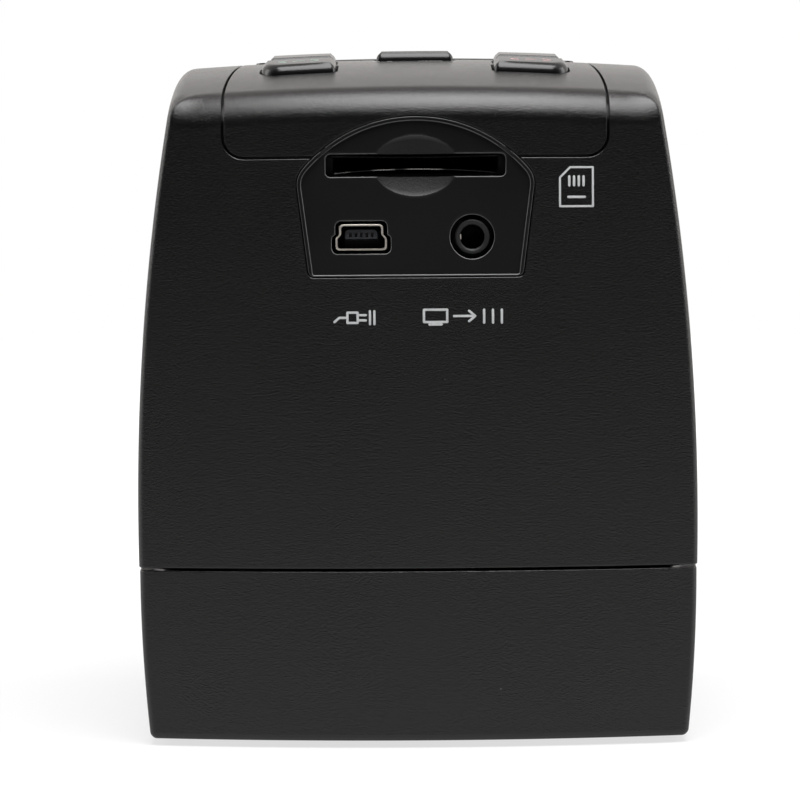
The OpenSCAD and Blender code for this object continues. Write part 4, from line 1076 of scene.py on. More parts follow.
class BuildUpperHousing(Operator):
    """Upper housing: bowed walls, recess for the cover, openings for panel, keys, window and film."""

    bl_idname = "scanner.upper_housing"
    bl_label = "Upper housing"

    def execute(self, context):
        s, o = in_mm("housing"), in_mm("openings")
        skin = upper_skin()
        post = [0, 0.15, 0.3, 0.5, 0.75, 1.0, 1.3, 1.8, 2.6, 3.6, 5.0]
        rim = [0, 0.07, 0.14, 0.22, 0.5, 1.2]
        crown = [0, 0.35, 0.75, 1.2, 1.7, 2.2, 2.8, 3.4, 4.1, 5.0, 6.2]
        shell = tower("upper_housing_skin", skin, 40, 40, 36, post, rim, crown)
        inner = skin.shrunk(s.wall, s.seam - 3)
        carve(shell, [tower("hollow", inner, 14, 14, 14, [0, 0.5, 1.5, 4], [0, 0.6], [0, 0.8, 2, 4])])
        wrap = Wrap(skin)
        recess = grown(mouth(o.edge, 0, o.cover_thick + 0.06, -5), o.cover_gap)
        cut(shell, strip(wrap), recess, wrap, (44, 44))
        cut(shell, arch(), grown(mouth(o.edge, 0, 7), o.panel_gap), on_front(skin), (24, 24))
        gap = in_mm("keys").gap
        carve(shell, key_holes(skin, [(gap, 1.0), (gap, 7)]))
        cut(shell, window_outline(-1.5, 1.0), [(0, -2), (0, 9)], flat_top(s.height))
        cut(shell, window_outline(0.15), [(0, -4), (0, 1.65)], flat_top(s.height))
        half = o.tunnel_width / 2
        film = plate(-half, half, s.seam - 7, o.tunnel_roof, (0.5, 0.5, 0.7, 0.7), 1.5)
        for sign in (-1, 1):
            cut(shell, film, mouth(0.3, 0, 7), on_side(skin, sign), (10, 10))
        smoothed(shell, skin)
        boss_low = 27.8
        bosses = []
        for x, y in SCREW_PLACES:
            bosses.append(column(1.28, 3.0, 18, 32, x, y, boss_low))
            middle = y + math.copysign(2.2, y)
            rib = plate(x - 1, x + 1, middle - 1, middle + 1, 0.2)
            bosses.append(pillow("rib", rib, [(0, 0), (0, -26)], flat_top(boss_low)))
        placed(furnished("upper_housing_body", shell, bosses), "grained_abs", ["upper_housing"])
        return {"FINISHED"}


def furnished(name, shell, parts):
    """Joins plain inner forms to a shell."""
    inside = joined("inside", parts)
    inside.data.shade_flat()
    return with_inside(name, shell, inside)


def with_inside(name, shell, inside):
    """Joins plain inner forms to a shell without losing the shell's normals."""
    both = {"active_object": shell, "selected_editable_objects": [shell, inside]}
    with bpy.context.temp_override(**both):
        bpy.ops.object.join()
    shell.name = name
    return shell


class BuildCover(Operator):
    """Cover strip that wraps over front, top and rear, with the key holes and the window's seat."""

    bl_idname = "scanner.top_cover"
    bl_label = "Top cover"

    def execute(self, context):
        o = in_mm("openings")
        skin = upper_skin()
        wrap = Wrap(skin)
        rows = [(0, o.cover_thick), (0, 0.6), *shoulder(o.edge, 0)]
        cover = pillow("top_cover_strip", strip(wrap), rows, wrap, rings=(30, 60))
        cut(cover, arch(), grown(mouth(o.edge, 0, 4), o.panel_gap), on_front(skin), (24, 24))
        carve(cover, key_holes(skin, grown(mouth(0.12, 0, 4, -3), in_mm("keys").gap)))
        cut(cover, window_outline(0.15), mouth(0.12, 0, 5, -3), on_top(skin), (12, 12))
        smoothed(cover, skin)
        placed(cover, "cover_abs", ["top_cover"])
        return {"FINISHED"}


class BuildBase(Operator):
    """Base housing with its screw wells, foot seats and air slots."""

    bl_idname = "scanner.base_housing"
    bl_label = "Base housing"

    def execute(self, context):
        s = in_mm("housing")
        skin = base_skin()
        post = [0, 0.15, 0.3, 0.5, 0.75, 1.0, 1.3, 1.8, 2.6, 4.0]
        rim = [0, 0.2, 0.4, 0.6, 0.8, 1.05, 1.5]
        crown = [0, 0.07, 0.14, 0.22, 0.6]
        shell = tower("base_housing_skin", skin, 36, 36, 14, post, rim, crown)
        inner = skin.shrunk(s.wall, s.base_low + s.wall)
        inner.height = s.base_high + 3
        carve(shell, [tower("hollow", inner, 10, 10, 4, [0, 0.5, 1.5, 4], [0, 0.5, 1], [0, 0.3])])
        under = flat_top(s.base_low)
        well = [(0, -4), (0, 0), (0, 1)]
        tools = [pillow("well", disc(x, y, WELL_RADIUS), well, under) for x, y in SCREW_PLACES]
        tools += [pillow("seat", disc(x, y, 4.1), [(0, -0.8), (0, 1)], under) for x, y in FOOT_PLACES]
        for x in range(-15, 20, 5):
            slot = plate(x - 0.9, x + 0.9, -10, 10, 0.7)
            tools.append(pillow("slot", slot, [(0, -3.5), (0, 0), (0.25, 0.25)], under))
        carve(shell, tools)
        smoothed(shell, skin)
        low, inside = 2.0, []
        for x, y in SCREW_PLACES:
            tube = column(1.4, 3.6, 24.2, 32, x, y, low)
            inside.append(cut(tube, disc(x, y, WELL_RADIUS), [(0, -4), (0, 1)], under))
        inside += [column(0, 2.5, 22.7, 24, x, y, low) for x in (-33, 33) for y in (-24, 24)]
        inside += [column(0, 2.2, 5, 24, x, y, low) for x in (-24.5, 24.5) for y in (-18.5, 18.5)]
        placed(furnished("base_housing_body", shell, inside), "grained_abs", ["base_housing"])
        return {"FINISHED"}


class BuildPortPanel(Operator):
    """Arched panel with its rim, sunk floor, thumb scoop and holes for slot, data port and jack."""

    bl_idname = "scanner.port_panel"
    bl_label = "Port panel"

    def execute(self, context):
        o = in_mm("openings")
        skin = upper_skin()
        front = on_front(skin)
        rows = [(1.3, 3.6), (1.3, 2.46), (0, 2.46), (0, 0.6), *shoulder(0.12, 0)]
        panel = pillow("port_panel_arch", arch(), rows, front, rings=(20, 30))
        floor = grown(mouth(0.13, 0, o.panel_sink - 0.06), -o.panel_rim)
        floor.append((-o.panel_rim - 0.07, o.panel_sink))
        cut(panel, arch(o.panel_rim - 0.16), floor, front, (16, 30))
        half, tall = o.slot_width / 2, o.slot_tall / 2
        slot = plate(-half, half, o.slot_height - tall, o.slot_height + tall, 0.7, 0.8)
        carve(panel, [scoop_tool(o)])
        for hole in (slot, data_outline(o, 0.6), disc(o.jack_x, o.port_height, o.jack_hole)):
            cut(panel, hole, mouth(0.2, o.panel_sink, 6), front, (6, 6))
        smoothed(panel, skin, 40)
        placed(panel, "panel_abs", ["port_panel"])
        return {"FINISHED"}


def data_outline(o, grow=0.0):
    """Data port outline: wide below, narrow above, with soft shoulders."""
    x, z = -o.data_x, o.port_height
    wide, neck, tall = 3.75 + grow, 3.22 + grow, 1.9 + grow * 0.85
    r, hollow, turn = 0.55 + grow * 0.5, 0.35, 42
    right = [
        (wide - r, r - tall, r, -90, 0),
        (wide - r, -0.35, r, 0, turn),
        (neck + hollow, 0.55, -hollow, 180 + turn, 180),
        (neck - r, tall - r, r, 0, 90),
    ]
    left = [(-a, b, r, 180 - end, 180 - start) for a, b, r, start, end in reversed(right)]
    return Outline([(x + a, z + b, *arc) for a, b, *arc in right + left], 0.3)


def scoop_tool(o):
    """Spindle-shaped cutter of the thumb scoop."""
    deep, half_w, half_h = 1.6, 6.5, 4.5
    rv = (half_h**2 + deep**2) / (2 * deep)
    rh = (half_w**2 + deep**2) / (2 * deep)
    reach = math.sqrt(rh**2 - (rh - rv) ** 2)
    steps = np.linspace(-reach, reach, 110)
    profile = [(max(rv - rh + math.sqrt(max(rh**2 - a * a, 0)), 0), a) for a in steps]
    tool = lathe("scoop", profile, 400)
    return moved(tool, 0, front_y() + o.panel_sink + deep - rv, o.slot_height - 0.05, (0, 90, 0))


class BuildKeys(Operator):
    """Five keys with soft edges, a top that follows the housing's skin, a flange and a stem."""

    bl_idname = "scanner.keys"
    bl_label = "Keys"

    def execute(self, context):
        k = in_mm("keys")
        skin = upper_skin()
        surface = on_top(skin)
        deep, low = 3.3, 96.7  # underside of the flange, and of the stem
        for name, place in key_places().items():
            x, y, half, run = place[:4]
            rows = [(-0.2, deep), (0, 3.1), (0, 0.5), *shoulder(k.top_round, -k.proud)]
            cap = smoothed(pillow("cap", key_outline(*place), rows, surface, (6, 10)), angle=50)
            flange = plate(x - half - 1.3, x + half + 1.3, y - run, y + run, 0.4)
            wing = pillow("wing", flange, [(0, deep), (0, 2.7)], surface, (6, 6))
            top = float(skin.roof(np.array(x), np.array(y))) - 2.9
            profile = [(0, low), (1.5, low), (1.6, low + 0.1), (1.6, top), (0, top)]
            stem = moved(lathe("stem", profile, 32), x, y, 0)
            key = with_inside("key_" + name + "_cap", cap, smoothed(joined("under", [wing, stem])))
            placed(key, "key_abs", ["key_" + name], "key_body_" + name)
        return {"FINISHED"}


class BuildWindow(Operator):
    """Polished screen window with a fine chamfer."""

    bl_idname = "scanner.window"
    bl_label = "Screen window"

    def execute(self, context):
        crowned = on_top(upper_skin())
        proud, level = 0.25, in_mm("housing").height + 0.15

        def place(x, y, depth):
            if depth > 1:
                return flat_top(level)(x, y, depth)
            return crowned(x, y, depth - proud)

        rows = [(0, 1.8), (0, 0.5), *shoulder(0.18, 0)]
        pane = pillow("screen_window_pane", window_outline(0, 1.4), rows, place, (1, 12))
        smoothed(pane, angle=50)
        placed(pane, "window", ["screen_window"])
        return {"FINISHED"}


# ---- operators: ports -----------------------------------------------------


class BuildDataPort(Operator):
    """Data port: folded metal shell, plastic tongue with recesses and five contacts."""

    bl_idname = "scanner.data_port"
    bl_label = "Data port"

    def execute(self, context):
        o, front = in_mm("openings"), front_y()
        x, z = -o.data_x, o.port_height
        at = flat_front(front + 0.6)
        shell = pillow("data_shell_fold", data_outline(o), [(0, 9), (0, 0.05), (-0.05, 0)], at)
        cut(shell, data_outline(o, -0.3), [(0.4, -1), (0.06, -0.05), (0, 0.06), (0, 8.7)], at)
        smoothed(shell, angle=40)
        placed(shell, "contact_steel", ["data_shell"], look="lip_steel")
        at = flat_front(front + 1.6)
        nose = plate(x - 2.4, x + 2.4, z - 0.25, z + 1.2, (0.08, 0.08, 0.6, 0.6), 0.2)
        tongue = pillow("tongue", nose, [(0, 7.7), (0, 0.1), (-0.08, 0)], at)
        middles = [x + 0.8 * n for n in range(-2, 3)]
        grooves = [plate(m - 0.2, m + 0.2, z + 0.05, z + 0.7, 0.05) for m in middles]
        carve(tongue, [pillow("groove", groove, [(0, -1), (0, 0.8)], at) for groove in grooves])
        root = plate(x - 2.6, x + 2.6, z - 1.4, z + 1.1, 0.1)
        root = pillow("root", root, [(0, 1.2), (0, 0)], flat_front(front + 8.1))
        tongue = smoothed(joined("data_tongue_block", [tongue, root]))
        placed(tongue, "inner_black", ["data_tongue"], look="tongue_abs")
        leaf = plate(-0.2, 0.2, -0.1, 0.1, 0.04, 0.1)
        leaf = pillow("leaf", leaf, [(0, 6.2), (0, 0.05), (-0.05, 0)], flat_front(0))
        start = (middles[0], front + 1.9, z)
        row_of("data_contact_leaves", leaf, 5, (0.8, 0, 0), start, "contact_gold", ["data_contacts"])
        return {"FINISHED"}


class BuildJack(Operator):
    """Video jack: ringed nose, moulded body and soldered tabs."""

    bl_idname = "scanner.jack"
    bl_label = "Video jack"

    def execute(self, context):
        o, front = in_mm("openings"), front_y()
        x, z, bore = o.jack_x, o.port_height, 1.8
        nose = [(bore, 0.25), (1.95, 0.08), (2.15, 0), (2.35, 0), (2.52, 0.18), (2.52, 6), (bore, 6)]
        ring = lathe("ring", [*nose, nose[0]], 72)
        moved(ring, x, front + 0.8, z, (-90, 0, 0))
        low, at = 73.2, flat_front(front + 5.8)
        block = plate(x - 3.1, x + 3.1, low, z + 2.8, 0.3, 0.6)
        block = pillow("block", block, [(0, 12.4), (0, 0.2), (-0.2, 0)], at)
        cut(block, disc(x, z, bore), [(0, -1), (0, 8)], at)
        body = smoothed(joined("jack_body_block", [ring, block]), angle=40)
        placed(body, "inner_black", ["jack_body"])
        leaf = plate(x - 2.0, x - 1.6, z - 0.4, z + 0.4, 0.1)
        leaf = pillow("leaf", leaf, [(0, 3), (0, 0.1), (-0.1, 0)], flat_front(front + 1.1))
        inlaid(body, smoothed(leaf), "dull_steel")
        tab = plate(-0.6, 0.6, -0.6, 0.6, 0.1, 0.4)
        tab = pillow("tab", tab, [(0, 0.5), (-0.05, 0)], flat_top(0.5))
        rows = [front + 8.7 + 3.5 * n for n in range(3)]
        places = [(x + side, y, low) for side in (-3.7, 3.7) for y in rows]
        turns = [(0, 0, 0)] * 6
        scattered("jack_solder_tabs", tab, places, turns, "contact_steel", ["jack_tabs"])
        return {"FINISHED"}


class BuildCardSocket(Operator):
    """Card socket: frame, bowed metal shell, contact springs, ejector and its wound spring."""

    bl_idname = "scanner.card_socket"
    bl_label = "Card socket"

    def execute(self, context):
        dressed("card_frame", "inner_black", 0.12)
        shell = dressed("card_shell", "contact_steel", 0.05, look="shaded_steel")
        # The strip across the slot takes painted shade in patches.
        inlaid(shell, smoothed(bowed_strip(12.0, 84.55, 85.15)), "worn_steel")
        dressed("card_ejector", "inner_white", 0.1, "ejector", "inner_black")
        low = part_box("card_contacts")[0] / MM
        leaf = contact_leaf(8.0, 1.0, 0.7)
        start = (low.x + 0.5, low.y, low.z)
        row_of("card_contact_springs", leaf, 9, (2.4, 0, 0), start, "contact_gold", ["card_contacts"])
        low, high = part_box("ejector_spring")
        middle, wire = (low + high) / 2, 0.15
        run = (high.y - low.y) / MM - 2 * wire
        coil = wound("ejector_coil", 0.65, wire, run, 9, finish("contact_steel"))
        moved(coil, middle.x / MM, low.y / MM + wire, middle.z / MM, (-90, 0, 0))
        smoothed(coil, angle=60)
        placed(coil, "contact_steel", ["ejector_spring"])
        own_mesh(coil)
        return {"FINISHED"}


def contact_leaf(run, width, rise):
    """One card contact: a strip that rises in a wave from its root."""
    steps = np.linspace(0, 1, 25)
    wave = rise * (0.16 + 0.72 * np.sin(math.pi * np.clip(steps * 1.15, 0, 1)) ** 2) - 0.08
    section = ((-width / 2, 0), (width / 2, 0), (width / 2, 0.12), (-width / 2, 0.12))
    rows = [[(x, t * run, max(h - 0.04, 0) + up) for x, up in section] for t, h in zip(steps, wave)]
    return ribbon("leaf", rows)


def ribbon(name, rows):
    """Closed strip through rows of four corners each."""
    faces = [(0, 1, 2, 3), tuple(4 * len(rows) - 4 + n for n in (3, 2, 1, 0))]
    for a in range(0, 4 * len(rows) - 4, 4):
        faces += [(a + k, a + (k + 1) % 4, a + 4 + (k + 1) % 4, a + 4 + k) for k in range(4)]
    return solid(name, sum(rows, []), faces)


def bowed_strip(half, low, crown):
    """Spring strip across the card slot, bowed up in its middle, with its front edge tipped down."""
    section = ((-38.29, 0), (-37.0, 0), (-37.0, 0.14), (-38.3, 0.14))
    rows = []
    for x in np.linspace(-half, half, 61):
        height = low + (crown - low) * (1 - (x / half) ** 2)
        rows.append([(x, y, height + up) for y, up in section])
    return ribbon("bowed_strip", rows)


# ---- geometry node pieces -------------------------------------------------


def modified(piece, tree, values):
    """Runs a tree on a piece with inputs set by name, and keeps the plain mesh."""
    run = piece.modifiers.new("made", "NODES")
    run.node_group = tree
    for item in tree.interface.items_tree:
        if item.item_type == "SOCKET" and item.in_out == "INPUT" and item.name in values:
            run[item.identifier] = values[item.name]
    return baked(piece)


def copies_tree(name, inputs, build):
    """Geometry nodes, made once: what build makes is realized and takes the material Finish."""
    if name in bpy.data.node_groups:
        return bpy.data.node_groups[name]
    every = [("Geometry", "Geometry"), *inputs, ("Finish", "Material")]
    tree, into, out = node_tree(name, "GeometryNodeTree", every, [("Geometry", "Geometry")])
    real = add(tree, "GeometryNodeRealizeInstances", {"Geometry": build(tree, into)})
    done = {"Geometry": real.outputs[0], "Material": into["Finish"]}
    feed(out, Geometry=add(tree, "GeometryNodeSetMaterial", done).outputs[0])
    return tree


def copied(tree, into, points, **values):
    """The object Part on each point."""
    part = add(tree, "GeometryNodeObjectInfo", {"Object": into["Part"]}).outputs["Geometry"]
    values.update(Points=points, Instance=part)
    return add(tree, "GeometryNodeInstanceOnPoints", values).outputs[0]


def row_nodes(tree, into):
    """Copies of one object along a line."""
    line = {"Count": into["Count"], "Start Location": into["Start"], "Offset": into["Step"]}
    return copied(tree, into, add(tree, "GeometryNodeMeshLine", line).outputs["Mesh"])


def row_of(name, part, count, step, start, slot, nodes):
    """Places a row of copies of a part, from a start and a step in millimetres."""
    inputs = [("Part", "Object"), ("Count", "Int", 5), ("Start", "Vector"), ("Step", "Vector")]
    tree = copies_tree("Row of parts", inputs, row_nodes)
    start, step = ([v * MM for v in way] for way in (start, step))
    values = {"Part": part, "Count": count, "Start": start, "Step": step, "Finish": finish(slot)}
    row = modified(link(name, bpy.data.meshes.new(name)), tree, values)
    drop(part)
    return placed(smoothed(row), slot, nodes)


def scatter_nodes(tree, into):
    """Copies of one object on points, each turned by the point's own angles."""
    named = {"Name": "turn"}
    turn = add(tree, "GeometryNodeInputNamedAttribute", named, data_type="FLOAT_VECTOR").outputs[0]
    return copied(tree, into, into["Geometry"], Rotation=turn)


def scattered(name, part, places, turns, slot, nodes):
    """Sets copies of a part at places in millimetres, turned by angles in degrees."""
    mesh = bpy.data.meshes.new(name)
    mesh.from_pydata([[v * MM for v in p] for p in places], [], [])
    turn = mesh.attributes.new("turn", "FLOAT_VECTOR", "POINT")
    turn.data.foreach_set("vector", np.radians(np.array(turns, float)).ravel())
    tree = copies_tree("Parts on points", [("Part", "Object")], scatter_nodes)
    copies = modified(link(name, mesh), tree, {"Part": part, "Finish": finish(slot)})
    drop(part)
    return placed(smoothed(copies), slot, nodes)


def coil_nodes(tree, into):
    """Round wire wound about Z."""
    turns = {"Resolution": 32, "Rotations": into["Turns"], "Height": into["Length"]}
    turns.update({"Start Radius": into["Radius"], "End Radius": into["Radius"]})
    spiral = add(tree, "GeometryNodeCurveSpiral", turns).outputs[0]
    ring = {"Resolution": 10, "Radius": into["Wire"]}
    ring = add(tree, "GeometryNodeCurvePrimitiveCircle", ring).outputs[0]
    wire = {"Curve": spiral, "Profile Curve": ring, "Fill Caps": True}
    return add(tree, "GeometryNodeCurveToMesh", wire).outputs[0]


def wound(name, radius, wire, run, turns, material):
    """A coil spring in millimetres."""
    inputs = [(n, "Float") for n in ("Radius", "Wire", "Length", "Turns")]
    tree = copies_tree("Wound spring", inputs, coil_nodes)
    values = {"Radius": radius * MM, "Wire": wire * MM, "Length": run * MM, "Turns": float(turns)}
    return modified(link(name, bpy.data.meshes.new(name)), tree, {**values, "Finish": material})


def pan_screw(head_r, head_h, shank_r, run, recess):
    """Pan-head screw along +Z with its head below zero, a cross recess and a thread."""
    dome = ((0, 1), (0.55, 1), (0.85, 0.86), (1, 0.5), (1, 0))
    cap = [(head_r * r, -head_h * h) for r, h in dome]
    pitch = shank_r * 0.8
    turn = ((0.8, 0), (0.98, 0.45), (0.8, 0.9))
    starts = range(int(run / pitch))
    thread = [(shank_r * r, (n + rise) * pitch) for n in starts for r, rise in turn]
    screw = lathe("screw", [*cap, *thread, (shank_r * 0.6, run), (0, run)], 24)
    for x, y in ((recess, recess * 0.22), (recess * 0.22, recess)):
        blade = [(0, -0.5), (-0.1, head_h * 0.45)]
        cut(screw, plate(-x, x, -y, y, 0.03, 1), blade, flat(2, -head_h))
    return screw


class BuildScrews(Operator):
    """All screws, copied by geometry nodes onto the places of the CAD screws."""

    bl_idname = "scanner.screws"
    bl_label = "Screws"

    def execute(self, context):
        big = pan_screw(2.4, 1.8, 1.25, 38.0, 1.5)
        places = [(x, y, 5.0) for x, y in SCREW_PLACES]
        turns = [(0, 0, 20 + 37 * n) for n in range(4)]
        scattered("housing_screw_set", big, places, turns, "screw_steel", ["housing_screws"])
        head = 1.1
        for node, run in SMALL_SCREWS.items():
            small = pan_screw(1.5, head, 0.8, run, 0.95)
            places, turns = [], []
            for n, (low, high) in enumerate(islands(node)):
                middle = (low + high) / 2
                down = island_head_is_low(node, low, high)
                height = low.z / MM + head if down else high.z / MM - head
                places.append((middle.x / MM, middle.y / MM, height))
                turns.append((0 if down else 180, 0, 25 + 41 * n))
            scattered(node + "_set", small, places, turns, "screw_steel", [node])
        return {"FINISHED"}


# Small screws with the length of their shank in millimetres
SMALL_SCREWS = {
    "keypad_screws": 3.9, "bracket_screws": 3.9, "board_screws": 3.9, "sensor_screws": 3.4,
    "shroud_screws": 2.8, "backlight_screws": 4.4,
}


def islands(node):
    """Boxes of the separate solids of a CAD node."""
    work = bmesh.new()
    work.from_mesh(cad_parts[node].data)
    bmesh.ops.remove_doubles(work, verts=work.verts, dist=1e-6)
    left, found = set(work.verts), []
    while left:
        todo, low, high = [left.pop()], Vector((1e9,) * 3), Vector((-1e9,) * 3)
        while todo:
            vert = todo.pop()
            low, high = Vector(map(min, low, vert.co)), Vector(map(max, high, vert.co))
            for edge in vert.link_edges:
                other = edge.other_vert(vert)
                if other in left:
                    left.discard(other)
                    todo.append(other)
        found.append((low, high))
    work.free()
    return sorted(found, key=lambda b: (round(b[0].x, 4), round(b[0].y, 4), round(b[0].z, 4)))


def island_head_is_low(node, low, high):
    """True where the wide end of a screw is its lower end."""
    middle = (low + high) / 2
    wide = []
    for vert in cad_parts[node].data.vertices:
        off = math.hypot(vert.co.x - middle.x, vert.co.y - middle.y)
        if 1.3e-3 < off < 1.6e-3 and low.z - 1e-5 <= vert.co.z <= high.z + 1e-5:
            wide.append(vert.co.z)
    return sum(wide) / len(wide) < middle.z


class BuildFeet(Operator):
    """Four rubber feet with a rounded edge and a shallow dish."""

    bl_idname = "scanner.feet"
    bl_label = "Feet"

    def execute(self, context):
        dish = [(0, 0.12), (2.6, 0.12), (2.9, 0)]
        edge = [(3.7, 0), (3.93, 0.1), (4.0, 0.35), (4.0, 1.8), (0, 1.8)]
        foot = lathe("foot", dish + edge, 48)
        places = [(x, y, 0) for x, y in FOOT_PLACES]
        scattered("rubber_feet", foot, places, [(0, 0, 0)] * 4, "foot_rubber", ["feet"])
        return {"FINISHED"}


def dressed(node, slot, edge, body=HOUSING, look=None):
    """A CAD node's own shape with its edges eased."""
    piece = link(node + "_form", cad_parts[node].data.copy())
    tidy(piece.data, 2e-6)
    work = bmesh.new()
    work.from_mesh(piece.data)
    bmesh.ops.dissolve_limit(work, angle_limit=math.radians(1), verts=work.verts, edges=work.edges)
    work.to_mesh(piece.data)
    work.free()
    if edge:
        ease = piece.modifiers.new("ease", "BEVEL")
        ease.width = edge * MM
        ease.segments = 2
        ease.limit_method = "ANGLE"
        ease.angle_limit = math.radians(38)
        baked(piece)
    smoothed(piece)
    return placed(piece, slot, [node], body, look)


class BuildInside(Operator):
    """Pieces inside: boards, optics, film gate, light box and cables."""

    bl_idname = "scanner.inside"
    bl_label = "Inside"

    def execute(self, context):
        for node, (slot, edge) in INSIDE.items():
            dressed(node, slot, edge)
        for name in key_places():
            dressed("plunger_" + name, "inner_black", 0.1, "key_body_" + name)
        low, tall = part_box("backlight_leds")[0], 0.9
        led = plate(-1.75, 1.75, -1.4, 1.4, 0.2, 1)
        led = pillow("led", led, [(0, tall), (0, 0.1), (-0.1, 0)], flat_top(tall))
        places = [(x, y, low.z / MM) for x in (-15, -5, 5, 15) for y in (-10, 0, 10)]
        scattered("backlight_led_set", led, places, [(0, 0, 0)] * 12, "opal", ["backlight_leds"])
        return {"FINISHED"}


INSIDE = {
    "screen_module": ("module_steel", 0.15), "screen_bracket": ("module_steel", 0.12),
    "key_switches": ("module_steel", 0.12), "keypad_board": ("circuit_board", 0.05),
    "display_board": ("circuit_board", 0.05), "display_standoffs": ("standoff_brass", 0.1),
    "main_board": ("circuit_board", 0.05), "main_chips": ("inner_black", 0.06),
    "main_standoffs": ("standoff_brass", 0.1), "board_connectors": ("inner_white", 0.1),
    "keypad_flex": ("flex", 0), "screen_flex": ("flex", 0), "sensor_flex": ("flex", 0),
    "sensor_board": ("circuit_board", 0.05), "sensor_chip": ("chip_glass", 0.05),
    "lens_holder": ("inner_black", 0.1), "lens_barrel": ("inner_black", 0.15),
    "lens_elements": ("lens_glass", 0), "light_shroud": ("inner_black", 0.15),
    "film_gate": ("inner_black", 0.12), "detent_springs": ("contact_steel", 0.04),
    "stage_plate": ("inner_black", 0.12), "diffuser": ("opal", 0.05),
    "light_box": ("inner_white", 0.1), "backlight_board": ("circuit_board", 0.05),
    "backlight_lead": ("wire", 0),
}


# ---- printed marks --------------------------------------------------------


def stroke(x0, z0, x1, z1, width):
    """Outline of a round-ended stroke."""
    turn = math.degrees(math.atan2(z1 - z0, x1 - x0))
    r = width / 2
    return Outline([(x0, z0, r, turn + 90, turn + 270), (x1, z1, r, turn - 90, turn + 90)], 0.3)


def printed(name, strokes, place, colour, body=HOUSING, lift=0.012):
    """Strokes of ink that lie on a surface."""
    parts = [pillow("ink", s, [(0, 0.03), (0, -lift + 0.004), (-0.02, -lift)], place) for s in strokes]
    mark = joined(name, parts)
    smoothed(mark)
    mark.data.materials.append(ink("ink_" + name, colour))
    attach(mark, body)
    return mark


def loop(points, width, closed=True):
    ends = points[1:] + (points[:1] if closed else [])
    return [stroke(*a, *b, width) for a, b in zip(points, ends)]


def card_mark(x, z, w, h, line):
    """Card with a cut corner and its row of contacts."""
    x0, x1, z0, z1, nick = x - w / 2, x + w / 2, z - h / 2, z + h / 2, 1.5
    edge = loop([(x0, z0), (x1, z0), (x1, z1), (x0 + nick, z1), (x0, z1 - nick)], line)
    bars = [stroke(x + d, z + 0.2, x + d, z + 1.5, 0.36) for d in (-1.05, -0.35, 0.35, 1.05)]
    return edge + bars + [stroke(x - 1.2, z - 1.5, x + 1.2, z - 1.5, 0.36)]


def plug_mark(x, z, line):
    """Plug with two prongs, a lead and a block."""
    x0, x1, z0, z1 = x - 1.0, x + 0.5, z - 0.75, z + 0.75
    body = loop([(x0, z0), (x1, z0), (x1, z1), (x0, z1)], line)
    prongs = [stroke(x + 0.7, z + d, x + 1.7, z + d, line) for d in (-0.38, 0.38)]
    lead = [stroke(x - 1.1, z, x - 2.2, z, line), stroke(x - 2.2, z, x - 2.9, z - 0.6, line)]
    bars = [stroke(x + d, z - 0.95, x + d, z + 0.95, line) for d in (2.3, 2.95)]
    return body + prongs + lead + bars


def screen_mark(x, z, line):
    """Small screen on its stand, then an arrow that leaves it."""
    x0, x1 = x - 5.8, x - 2.4
    screen = loop([(x0, z - 0.75), (x1, z - 0.75), (x1, z + 1.05), (x0, z + 1.05)], line)
    stand = [stroke(x0 + 0.8, z - 1.1, x1 - 0.8, z - 1.1, line)]
    shaft = [stroke(x - 1.4, z + 0.1, x + 1.6, z + 0.1, line)]
    head = [stroke(x + 1.7, z + 0.1, x + 0.8, z + d, line) for d in (0.85, -0.65)]
    rings = [stroke(x + 3.0 + d, z - 0.9, x + 3.0 + d, z + 1.0, line) for d in (0.0, 1.3, 2.6)]
    return screen + stand + shaft + head + rings


class BuildPrints(Operator):
    """Generic marks in white by the ports, and small coloured ones on the keys."""

    bl_idname = "scanner.prints"
    bl_label = "Printed marks"

    def execute(self, context):
        skin = upper_skin()
        front, top = on_front(skin), on_top(skin)
        white = context.scene.scanner_colours.print
        printed("mark_card", card_mark(23.55, 82.3, 4.85, 5.7, 0.3), front, white)
        printed("mark_plug", plug_mark(-9.1, 63.35, 0.34), front, white)
        printed("mark_screen", screen_mark(6.9, 63.4, 0.34), front, white)
        proud = in_mm("keys").proud

        def on_key(x, y, depth):
            return top(x, y, depth - proud)

        keys = key_places()
        colours = {"front_left": (0.36, 0.50, 0.43), "front_right": (0.62, 0.36, 0.36)}
        for name, colour in colours.items():
            x, y = keys[name][:2]
            arrows = []
            for near, tip in ((x - 1.9, x - 3.0), (x + 1.9, x + 3.0)):
                arrows += loop([(near, y - 0.9), (tip, y), (near, y + 0.9)], 0.3, closed=False)
            arrows.append(stroke(x - 0.8, y, x + 0.8, y, 0.3))
            printed("mark_key_" + name, arrows, on_key, colour, "key_body_" + name)
        y, dots = -17.55, ((-6.4, 0.9), (-4.2, 0.6), (0.6, 3.6), (5.6, 1.2))
        dots = [stroke(x, y, x + w, y, 0.24) for x, w in dots]
        printed("mark_centre", dots, top, (0.6, 0.6, 0.6))
        return {"FINISHED"}


# ---- stage ----------------------------------------------------------------


def seen_by(tree, *rays):
    """One for the named kinds of rays, else zero."""
    path = add(tree, "ShaderNodeLightPath")
    found = path.outputs[rays[0]]
    for name in rays[1:]:
        found = math_node(tree, "MAXIMUM", found, path.outputs[name])
    return found


def sheet(name, corners, made):
    """One flat face with its material."""
    face = link(name, bpy.data.meshes.new(name))
    face.data.from_pydata(corners, [], [(0, 1, 2, 3)])
    face.data.materials.append(made)
    return face


